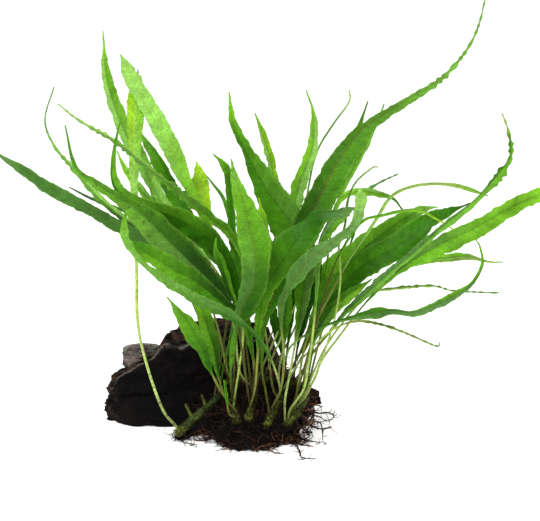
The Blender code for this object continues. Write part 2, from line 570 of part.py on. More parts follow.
def frond_line(frond):
    """The frond's centre line: its route, with the depth that each point has."""
    foot = frond_foot(frond)
    sheet = np.array(frond.route, float)
    runs = np.linalg.norm(np.diff(sheet, axis=0), axis=1)
    first = np.linalg.norm(sheet[0] - (foot[0], np.dot(foot, SHEET_UP)))
    shares = np.concatenate(((first,), first + np.cumsum(runs)))
    shares = shares / shares[-1]
    half_way, tip = frond.depths
    points = [foot]
    for (across, up), s in zip(frond.route, shares):
        depth = (1 - s) ** 2 * depth_of(foot) + 2 * s * (1 - s) * half_way + s**2 * tip
        points.append(sight_point(across, up, depth))
    return smooth_line(points)


def frond_mesh(name, frond):
    """The frond: rings along its centre line, round on the stalk and flat on the blade."""
    line = frond_line(frond)
    shares = np.linspace(0.0, 1.0, EXTRA_RINGS + len(frond.route))
    centres = along_line(line, shares)
    ahead = along_line(line, np.minimum(shares + TANGENT_STEP, 1.0))
    behind = along_line(line, np.maximum(shares - TANGENT_STEP, 0.0))
    start, stalk_width = frond.blade[0]
    widths = ((0.0, stalk_width), *frond.blade, (1.0, TIP_WIDTH))
    turn_middle, turn_tip = frond.turn
    turns = ((0.0, 0.0), (start, 0.5 * turn_middle), (0.5 + 0.5 * start, turn_middle),
             (1.0, turn_tip))
    rings = []
    for share, centre, front, back in zip(shares, centres, ahead, behind):
        tangent = unit(front - back) if share > 0.0 else np.array((0.0, 0.0, 1.0))
        across = unit(np.cross(SIGHT, tangent))
        facing = np.cross(across, tangent)
        turn = math.radians(smooth_value(turns, share))
        sideways = math.cos(turn) * across + math.sin(turn) * facing
        outward = math.cos(turn) * facing - math.sin(turn) * across
        seen = smooth_value(widths, share)
        flat = min(max((seen - stalk_width) / stalk_width, 0.0), 1.0)
        half_width = 0.5 * seen * (1.0 + flat * (1.0 / math.cos(turn) - 1.0))
        thickness = (1.0 - flat) * 0.5 * min(stalk_width, seen) + flat * BLADE_HALF_THICKNESS
        ring = []
        for i in range(RING_SIDES):
            angle = RING_START + 2.0 * math.pi * i / RING_SIDES
            side = half_width * math.cos(angle) / math.cos(RING_START)
            rise = thickness * math.sin(angle) + flat * BLADE_FOLD * abs(side)
            ring.append(centre + side * sideways + rise * outward)
        rings.append(ring)
    return loft(name, rings)


def clear_scene():
    for thing in list(bpy.data.objects):
        bpy.data.objects.remove(thing)


def new_collection(name):
    collection = bpy.data.collections.new(name)
    bpy.context.scene.collection.children.link(collection)
    return collection


def add_tool(name, mesh, tools):
    """A hidden shape that cuts or joins another."""
    mesh.transform(np.diag((MM, MM, MM, 1.0)).tolist())
    tool = bpy.data.objects.new(name, mesh)
    tool.hide_render = True
    tool.display_type = "WIRE"
    tools.objects.link(tool)
    return tool


def make_driftwood(parts, wood_room):
    """The log, and the knob that sits on its back half, cut to the log's surface."""
    parts.objects.link(object_of("driftwood_trunk", log_mesh("driftwood_trunk"), "driftwood"))
    knob = object_of("driftwood_knob", knob_mesh("driftwood_knob"), "driftwood")
    parts.objects.link(knob)
    boolean(knob, wood_room, "DIFFERENCE")


def make_rhizomes(parts, tools):
    for name in RHIZOMES:
        mesh = tube_mesh(name, rhizome_line(name), RHIZOME_RADIUS)
        rhizome = object_of(name, mesh, "rhizome")
        parts.objects.link(rhizome)
        if name != "rhizome_left":
            continue
        for number, ends in enumerate(STUBS, 1):
            stub = add_tool(f"stub_{number}", tube_mesh("stub", ends, STUB_RADIUS), tools)
            boolean(rhizome, stub, "UNION")


def make_root_mat(parts, tools, wood_room):
    mat = object_of("root_mat", mat_mesh("root_mat"), "roots")
    parts.objects.link(mat)
    for number, route in enumerate(STRANDS, 1):
        strand = tube_mesh("strand", smooth_line(route, steps=3), STRAND_RADIUS, roundness=0)
        boolean(mat, add_tool(f"strand_{number}", strand, tools), "UNION")
    for name in RHIZOMES:
        groove = tube_mesh("groove", rhizome_line(name), RHIZOME_RADIUS + GAP)
        boolean(mat, add_tool(f"groove_{name}", groove, tools), "DIFFERENCE")
    boolean(mat, wood_room, "DIFFERENCE")


def make_fronds(parts):
    for number, frond in enumerate(FRONDS, 1):
        name = f"frond_{number:02d}"
        parts.objects.link(object_of(name, frond_mesh(name, frond), frond.finish))


def main():
    clear_scene()
    parts = new_collection("java fern on driftwood")
    tools = new_collection("cutters")
    wood_room = add_tool("wood_room", log_mesh("wood_room", swell=GAP), tools)
    make_driftwood(parts, wood_room)
    make_rhizomes(parts, tools)
    make_root_mat(parts, tools, wood_room)
    make_fronds(parts)


main()
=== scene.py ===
"""Looks of the java fern on driftwood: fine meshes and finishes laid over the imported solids.

Frame: +X to the right, +Y to the back, +Z up, with the origin on the root mat's flat underside.
Tables are in millimetres, and finished meshes are in metres.
"""

import itertools
import logging
import math
from dataclasses import dataclass, field
from enum import Enum

import bmesh
import bpy
import numpy as np
from bpy.types import ID, Material, Mesh, Node, NodeSocket, NodeTree, Object
from mathutils import Matrix


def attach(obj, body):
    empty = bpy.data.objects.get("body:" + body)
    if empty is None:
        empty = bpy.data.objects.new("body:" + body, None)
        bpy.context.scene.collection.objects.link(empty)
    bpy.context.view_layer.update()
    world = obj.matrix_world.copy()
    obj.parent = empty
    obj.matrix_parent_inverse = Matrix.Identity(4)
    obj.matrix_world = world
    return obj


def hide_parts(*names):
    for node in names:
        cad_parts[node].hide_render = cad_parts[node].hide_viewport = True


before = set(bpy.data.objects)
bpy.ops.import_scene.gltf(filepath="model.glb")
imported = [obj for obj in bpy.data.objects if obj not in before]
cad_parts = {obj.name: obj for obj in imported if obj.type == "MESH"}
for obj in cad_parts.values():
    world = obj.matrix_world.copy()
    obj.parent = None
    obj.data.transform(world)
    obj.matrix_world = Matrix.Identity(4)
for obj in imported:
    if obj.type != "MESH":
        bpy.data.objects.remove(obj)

Array = np.ndarray

LOG = logging.getLogger("java_fern")
MM = 0.001
BODY = "root"

# The eye that the fronds are drawn for, and the upright sheet that it looks at.
EYE_DISTANCE = 1000.0
EYE_RISE = math.radians(12.0)
AIM_ACROSS = 10.0
AIM_UP = 89.75
VIEW_WIDTH = 270.0
SENSOR_WIDTH = 36.0
SIGHT = np.array((0.0, math.cos(EYE_RISE), -math.sin(EYE_RISE)))
SHEET_RIGHT = np.array((1.0, 0.0, 0.0))
SHEET_UP = np.array((0.0, math.sin(EYE_RISE), math.cos(EYE_RISE)))
EYE = AIM_ACROSS * SHEET_RIGHT + AIM_UP * SHEET_UP - EYE_DISTANCE * SIGHT


# ---------------------------------------------------------------- lines, grids and noise


def unit(vectors: Array) -> Array:
    """Vectors scaled to length one, along the last axis."""
    return vectors / np.maximum(np.linalg.norm(vectors, axis=-1, keepdims=True), 1e-12)


def sight_point(across: float, up: float, depth: float) -> Array:
    """The point at a depth behind the sheet that the eye sees at (across, up) on it."""
    on_sheet = across * SHEET_RIGHT + up * SHEET_UP
    return EYE + (on_sheet - EYE) * (1.0 + depth / EYE_DISTANCE)


def smooth_rows(rows: Array, steps: int, closed: bool = False) -> Array:
    """Catmull-Rom curves through rows of points.

    Args:
        rows: Points along the first axis.
        steps: Runs made between two rows.
        closed: Whether the last row leads back to the first.

    Returns:
        The finer rows.
    """
    if closed:
        ends = np.concatenate((rows[-1:], rows, rows[:2]))
    else:
        ends = np.concatenate((2 * rows[:1] - rows[1:2], rows, 2 * rows[-1:] - rows[-2:-1]))
    fine = []
    for i in range(1, len(ends) - 2):
        before, here, there, after = ends[i - 1 : i + 3]
        for t in np.linspace(0.0, 1.0, steps, endpoint=False):
            fine.append(
                0.5 * (2 * here + (there - before) * t
                       + (2 * before - 5 * here + 4 * there - after) * t**2
                       + (3 * here - before - 3 * there + after) * t**3)
            )
    if not closed:
        fine.append(rows[-1])
    return np.array(fine)


def along_line(line: Array, shares: Array) -> Array:
    """The points at these shares of the line's length."""
    runs = np.linalg.norm(np.diff(line, axis=0), axis=1)
    measured = np.concatenate(((0.0,), np.cumsum(runs))) / runs.sum()
    return np.column_stack([np.interp(shares, measured, line[:, axis]) for axis in range(3)])


def line_length(line: Array) -> float:
    """Length of a line of points."""
    return float(np.linalg.norm(np.diff(line, axis=0), axis=1).sum())


def smooth_values(keys: tuple, shares: Array) -> Array:
    """Values read from (share, value) keys, with no overshoot between them."""
    places = np.array([place for place, _ in keys])
    values = np.array([value for _, value in keys], float)
    slopes = np.diff(values) / np.diff(places)
    tangents = np.zeros(len(keys))
    joined = slopes[:-1] * slopes[1:] > 0.0
    total = np.where(joined, slopes[:-1] + slopes[1:], 1.0)
    tangents[1:-1] = np.where(joined, 2.0 * slopes[:-1] * slopes[1:] / total, 0.0)
    after = np.clip(np.searchsorted(places, shares, side="right"), 1, len(keys) - 1)
    before = after - 1
    span = places[after] - places[before]
    t = (shares - places[before]) / span
    return (
        (2 * t**3 - 3 * t**2 + 1) * values[before]
        + (t**3 - 2 * t**2 + t) * span * tangents[before]
        + (3 * t**2 - 2 * t**3) * values[after]
        + (t**3 - t**2) * span * tangents[after]
    )


# Numbers that scatter the noise: one for each axis, one for the seed, two mixing rounds as
# shift and factor, and the mask that keeps the sums positive.
AXIS_FACTORS = np.array((73856093, 19349663, 83492791))
SEED_FACTOR = 40503
MIX_ROUNDS = ((15, 2246822519), (13, 3266489917))
MIX_MASK = 0x7FFFFFFF


def lattice_noise(points: Array, seed: int) -> Array:
    """Smooth noise from -1 to 1, with features about one unit across."""
    cell = np.floor(points).astype(np.int64)
    part = points - cell
    fade = part * part * (3.0 - 2.0 * part)
    total = np.zeros(points.shape[:-1])
    for corner in itertools.product((0, 1), repeat=3):
        spot = np.bitwise_xor.reduce((cell + corner) * AXIS_FACTORS, axis=-1)
        mixed = (spot ^ (seed * SEED_FACTOR)) & MIX_MASK
        for shift, factor in MIX_ROUNDS:
            mixed = ((mixed ^ (mixed >> shift)) * factor) & MIX_MASK
        value = (mixed ^ (mixed >> 16)) / (MIX_MASK >> 1) - 1.0
        total += np.prod(np.where(np.array(corner) == 1, fade, 1.0 - fade), axis=-1) * value
    return total


def rough_noise(points: Array, seed: int, octaves: int = 4) -> Array:
    """Noise of several sizes, each half as wide and half as strong as the one before."""
    return sum(
        0.5**step * lattice_noise(points * 2.0**step, seed + 17 * step) for step in range(octaves)
    )


def ridged_noise(points: Array, seed: int, octaves: int = 4) -> Array:
    """Noise with sharp crests, from 0 in the furrows to about 1.9 on the crests."""
    return sum(
        0.5**step * (1.0 - np.abs(lattice_noise(points * 2.0**step, seed + 31 * step)))
        for step in range(octaves)
    )


def soft_step(low: float, high: float, values: Array) -> Array:
    """0 below low, 1 above high, and a smooth rise between."""
    t = np.clip((values - low) / (high - low), 0.0, 1.0)
    return t * t * (3.0 - 2.0 * t)


def grid_normals(grid: Array) -> Array:
    """Outward directions on a grid whose columns run round a closed ring."""
    down = np.gradient(grid, axis=0)
    round_ = np.roll(grid, -1, axis=1) - np.roll(grid, 1, axis=1)
    return unit(np.cross(round_, down))


# ---------------------------------------------------------------- colours and node trees


class Hue(Enum):
    """Colours of the plant and the wood, as sRGB hex."""

    DEEP = "#1f4a05"
    DARK = "#2b6406"
    LEAF = "#3d7a10"
    MID = "#549218"
    FRESH = "#6aaa22"
    LIME = "#80c02a"
    ACID = "#98cc24"
    YELLOW = "#a8d82a"
    PALE = "#96cc5c"
    SOFT = "#76b042"
    # Light yellow-green of the painted highlight along the leaf margins.
    BRIM = "#8cc044"
    MIST = "#5f8c46"
    GREY = "#5a8636"
    TEAL = "#47762c"
    OLIVE = "#5c5f1c"
    STALK = "#b4cb72"
    DIM_STALK = "#8a9446"
    DARK_STALK = "#5a5f26"
    RIB = "#2a5608"
    PALE_RIB = "#b4cf6a"
    FOOT = "#3f3216"
    CHAR = "#060404"
    BARK = "#120b0a"
    DRIFT = "#4a3f3b"
    # Pale grey: painted highlight on the log's rim, and the pale lumps of the knob.
    BLEACHED = "#8a7c76"
    RUST = "#46271c"
    SLATE = "#5f6a5a"
    ROOT = "#190f0b"
    ROOT_LIGHT = "#63402c"
    ROOT_DARK = "#0c0706"
    MOSS = "#3f5f1a"
    RHIZOME = "#4c5a1e"
    RHIZOME_OLD = "#5e6820"
    RHIZOME_DARK = "#141a0c"
    VERDIGRIS = "#35572a"
    FLOOR = "#f4f4f2"

    @property
    def linear(self) -> Array:
        """The colour as linear RGB."""
        return to_linear(self.value)


def to_linear(hex_colour: str) -> Array:
    """Turns an sRGB hex colour to linear RGB."""
    levels = np.array([int(hex_colour[i : i + 2], 16) for i in (1, 3, 5)]) / 255.0
    return np.where(levels <= 0.04045, levels / 12.92, ((levels + 0.055) / 1.055) ** 2.4)


def mix(first: Array, second: Array, share: Array) -> Array:
    """The first where the share is 0, the second where it is 1, and a blend between."""
    return (1.0 - share) * first + share * second


def add_node(tree: NodeTree, kind: str, inputs: dict | None = None, **settings: object) -> Node:
    """Adds a node with its settings, values and links.

    Args:
        tree: The tree that takes the node.
        kind: The node's type.
        inputs: Socket name or number to a value, or to the socket that feeds it.
        **settings: Properties of the node.

    Returns:
        The node.
    """
    node = tree.nodes.new(kind)
    for name, value in settings.items():
        setattr(node, name, value)
    for key, value in (inputs or {}).items():
        if isinstance(value, NodeSocket):
            tree.links.new(value, node.inputs[key])
        else:
            node.inputs[key].default_value = value
    return node


class Surface:
    """A new material, with a short method for each kind of node that its patterns need."""

    def __init__(self, name: str) -> None:
        self.material = bpy.data.materials.new(name)
        self.material.use_nodes = True
        self.tree = self.material.node_tree
        self.shader = self.tree.nodes["Principled BSDF"]

    def read(self, name: str) -> Node:
        """A mesh attribute."""
        return add_node(self.tree, "ShaderNodeAttribute", attribute_name=name)

    def place(self) -> NodeSocket:
        """The place on the object, in metres."""
        return add_node(self.tree, "ShaderNodeTexCoord").outputs["Object"]

    def split(self, vector: NodeSocket) -> list[NodeSocket]:
        """The three numbers of a vector."""
        return list(add_node(self.tree, "ShaderNodeSeparateXYZ", {0: vector}).outputs)

    def maths(self, operation: str, *values: object, clamp: bool = False) -> NodeSocket:
        """The result of one calculation on numbers and sockets."""
        return add_node(self.tree, "ShaderNodeMath", dict(enumerate(values)),
                        operation=operation, use_clamp=clamp).outputs[0]

    def noise(self, place: NodeSocket, width: float, detail: float,
              roughness: float = 0.5) -> NodeSocket:
        """Noise with features about this wide."""
        return add_node(self.tree, "ShaderNodeTexNoise",
                        {"Vector": place, "Scale": 1.0 / width, "Detail": detail,
                         "Roughness": roughness}).outputs["Fac"]

    def cells(self, place: NodeSocket, width: float, feature: str = "F1",
              randomness: float = 1.0) -> NodeSocket:
        """Distance to the middle or the edge of cells that are about this wide."""
        return add_node(self.tree, "ShaderNodeTexVoronoi",
                        {"Vector": place, "Scale": 1.0 / width, "Randomness": randomness},
                        feature=feature).outputs["Distance"]

    def ramp(self, value: NodeSocket, start: float, end: float, at_start: float = 0.0,
             at_end: float = 1.0, kind: str = "LINEAR") -> NodeSocket:
        """A value carried from start and end to new numbers, and held beyond them."""
        return add_node(self.tree, "ShaderNodeMapRange",
                        {"Value": value, "From Min": start, "From Max": end,
                         "To Min": at_start, "To Max": at_end}, interpolation_type=kind).outputs[0]

    def shaded(self, colour: Node, shade: NodeSocket) -> NodeSocket:
        """The colour of an attribute, made darker or lighter."""
        return add_node(self.tree, "ShaderNodeVectorMath",
                        {0: colour.outputs["Color"], "Scale": shade}, operation="SCALE").outputs[0]

    def marked(self, share: NodeSocket, ground: NodeSocket, hue: Hue) -> NodeSocket:
        """A ground colour with marks of a hue laid over it."""
        return add_node(self.tree, "ShaderNodeMix",
                        {0: share, 6: ground, 7: (*hue.linear, 1.0)}, data_type="RGBA").outputs[2]

    def finish(self, colour: NodeSocket, relief: NodeSocket, strength: float,
               depth: float, values: dict[str, object]) -> Material:
        """Feeds the shader and gives the material.

        Args:
            colour: Its base colour.
            relief: Height of the small relief, from 0 to 1.
            strength: How strongly the relief shows.
            depth: Depth of the relief, in millimetres.
            values: Values of the shader's other sockets.

        Returns:
            The material.
        """
        bump = add_node(self.tree, "ShaderNodeBump",
                        {"Strength": strength, "Distance": depth * MM, "Height": relief})
        self.tree.links.new(colour, self.shader.inputs["Base Color"])
        self.tree.links.new(bump.outputs[0], self.shader.inputs["Normal"])
        return self.plain(values)

    def plain(self, values: dict[str, object]) -> Material:
        """Sets values on the shader's sockets and gives the material."""
        for name, value in values.items():
            self.shader.inputs[name].default_value = value
        return self.material


# ---------------------------------------------------------------- meshes


def points_of(*parts: object) -> Array:
    """Points put together from arrays or numbers for their x, y and z."""
    return np.stack(np.broadcast_arrays(*parts), axis=-1)


def ring_faces(rows: int, columns: int) -> Array:
    """Quads of a grid whose columns run round a closed ring."""
    row, column = np.meshgrid(np.arange(rows - 1), np.arange(columns), indexing="ij")
    beside = (column + 1) % columns
    quads = (row * columns + column, row * columns + beside,
             (row + 1) * columns + beside, (row + 1) * columns + column)
    return np.stack(quads, axis=-1).reshape(-1, 4)


def closed_mesh(name: str, grid: Array) -> Mesh:
    """A closed mesh over rings of points, in millimetres, with a fan over each end ring.

    Args:
        name: The mesh's name.
        grid: Points as (ring, place round the ring, xyz).

    Returns:
        The mesh, in metres. Its last two points are the middles of the end rings.
    """
    rows, columns, _ = grid.shape
    faces = ring_faces(rows, columns).tolist()
    first, last = rows * columns, rows * columns + 1
    for i in range(columns):
        j = (i + 1) % columns
        faces.append((first, j, i))
        faces.append((last, (rows - 1) * columns + i, (rows - 1) * columns + j))
    mesh = bpy.data.meshes.new(name)
    mesh.from_pydata((with_ends(grid) * MM).tolist(), [], faces)
    shape = bmesh.new()
    shape.from_mesh(mesh)
    bmesh.ops.recalc_face_normals(shape, faces=shape.faces)
    shape.to_mesh(mesh)
    shape.free()
    mesh.shade_smooth()
    return mesh


def with_ends(values: Array) -> Array:
    """A grid's values in one row, with the means of its two end rings after them."""
    flat = values.reshape(-1, *values.shape[2:])
    return np.concatenate((flat, [values[0].mean(axis=0), values[-1].mean(axis=0)]))


def store(mesh: Mesh, name: str, values: Array) -> None:
    """Writes per-point colours (three columns) or numbers to a mesh attribute."""
    if name.endswith("colour"):
        values = np.column_stack((values, np.ones(len(values))))
        kind, channel = "FLOAT_COLOR", "color"
    elif values.ndim == 2:
        kind, channel = "FLOAT_VECTOR", "vector"
    else:
        kind, channel = "FLOAT", "value"
    attribute = mesh.attributes.new(name, kind, "POINT")
    attribute.data.foreach_set(channel, values.astype(np.float32).ravel())


def add_object(name: str, data: ID) -> Object:
    """A new object in the scene."""
    thing = bpy.data.objects.new(name, data)
    bpy.context.scene.collection.objects.link(thing)
    return thing


def place_piece(mesh: Mesh, material: Material, slot: str, *nodes: str) -> None:
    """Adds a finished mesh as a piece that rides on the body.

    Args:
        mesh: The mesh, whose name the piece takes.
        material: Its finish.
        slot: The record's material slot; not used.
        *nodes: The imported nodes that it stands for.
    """
    mesh.materials.clear()
    mesh.materials.append(material)
    piece = add_object(mesh.name, mesh)
    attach(piece, BODY)
    if nodes:
        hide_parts(*nodes)
    LOG.info("%s: %d faces", piece.name, len(mesh.polygons))


class LeafSlot(Enum):
    """The record's finishes for fronds."""

    DARK = "dark_frond"
    FRESH = "fresh_frond"
    PALE = "pale_frond"


@dataclass(frozen=True)
class Look:
    """Colours and marks of one frond. Left and right are those of a walk from foot to tip.

    left, right: hue of each half of the blade, low down and high up; some low hues are darkened as
    painted shade where the blade sits under others.
    tip, stalk, rib: hues of the drip tip, the stalk and the midrib.
    veins, spots: strength of the side veins and of the dark spore spots.
    ruffle: wave of the margins, in millimetres.
    rib_show: how strongly the midrib's hue shows.
    beads: share of the length from which the tail swells and narrows like beads.
    tip_from: share of the length from which the tip's hue comes in.
    margins: (share of the length, left, right), how much wider each half is, in millimetres.
    """

    left: tuple[Hue, Hue]
    right: tuple[Hue, Hue]
    tip: Hue = Hue.FRESH
    stalk: Hue = Hue.DIM_STALK
    rib: Hue = Hue.RIB
    veins: float = 0.5
    spots: float = 0.0
    ruffle: float = 0.7
    rib_show: float = 0.45
    beads: float = 1.0
    tip_from: float = 0.84
    margins: tuple = ()


@dataclass(frozen=True)
class Frond:
    """One frond.

    rhizome, along: what it grows from, and where, from 0 at the old end to 1.
    route: (across, up) points on the sheet, from the stalk's foot to the tip.
    depths: depth half way along and at the tip.
    blade: (share of the length, width as seen), from where the blade starts.
    turn: how far the blade is turned about its own length at the middle and at the tip.
    """

    rhizome: str
    along: float
    route: tuple
    depths: tuple
    blade: tuple
    turn: tuple
    slot: LeafSlot
    look: Look


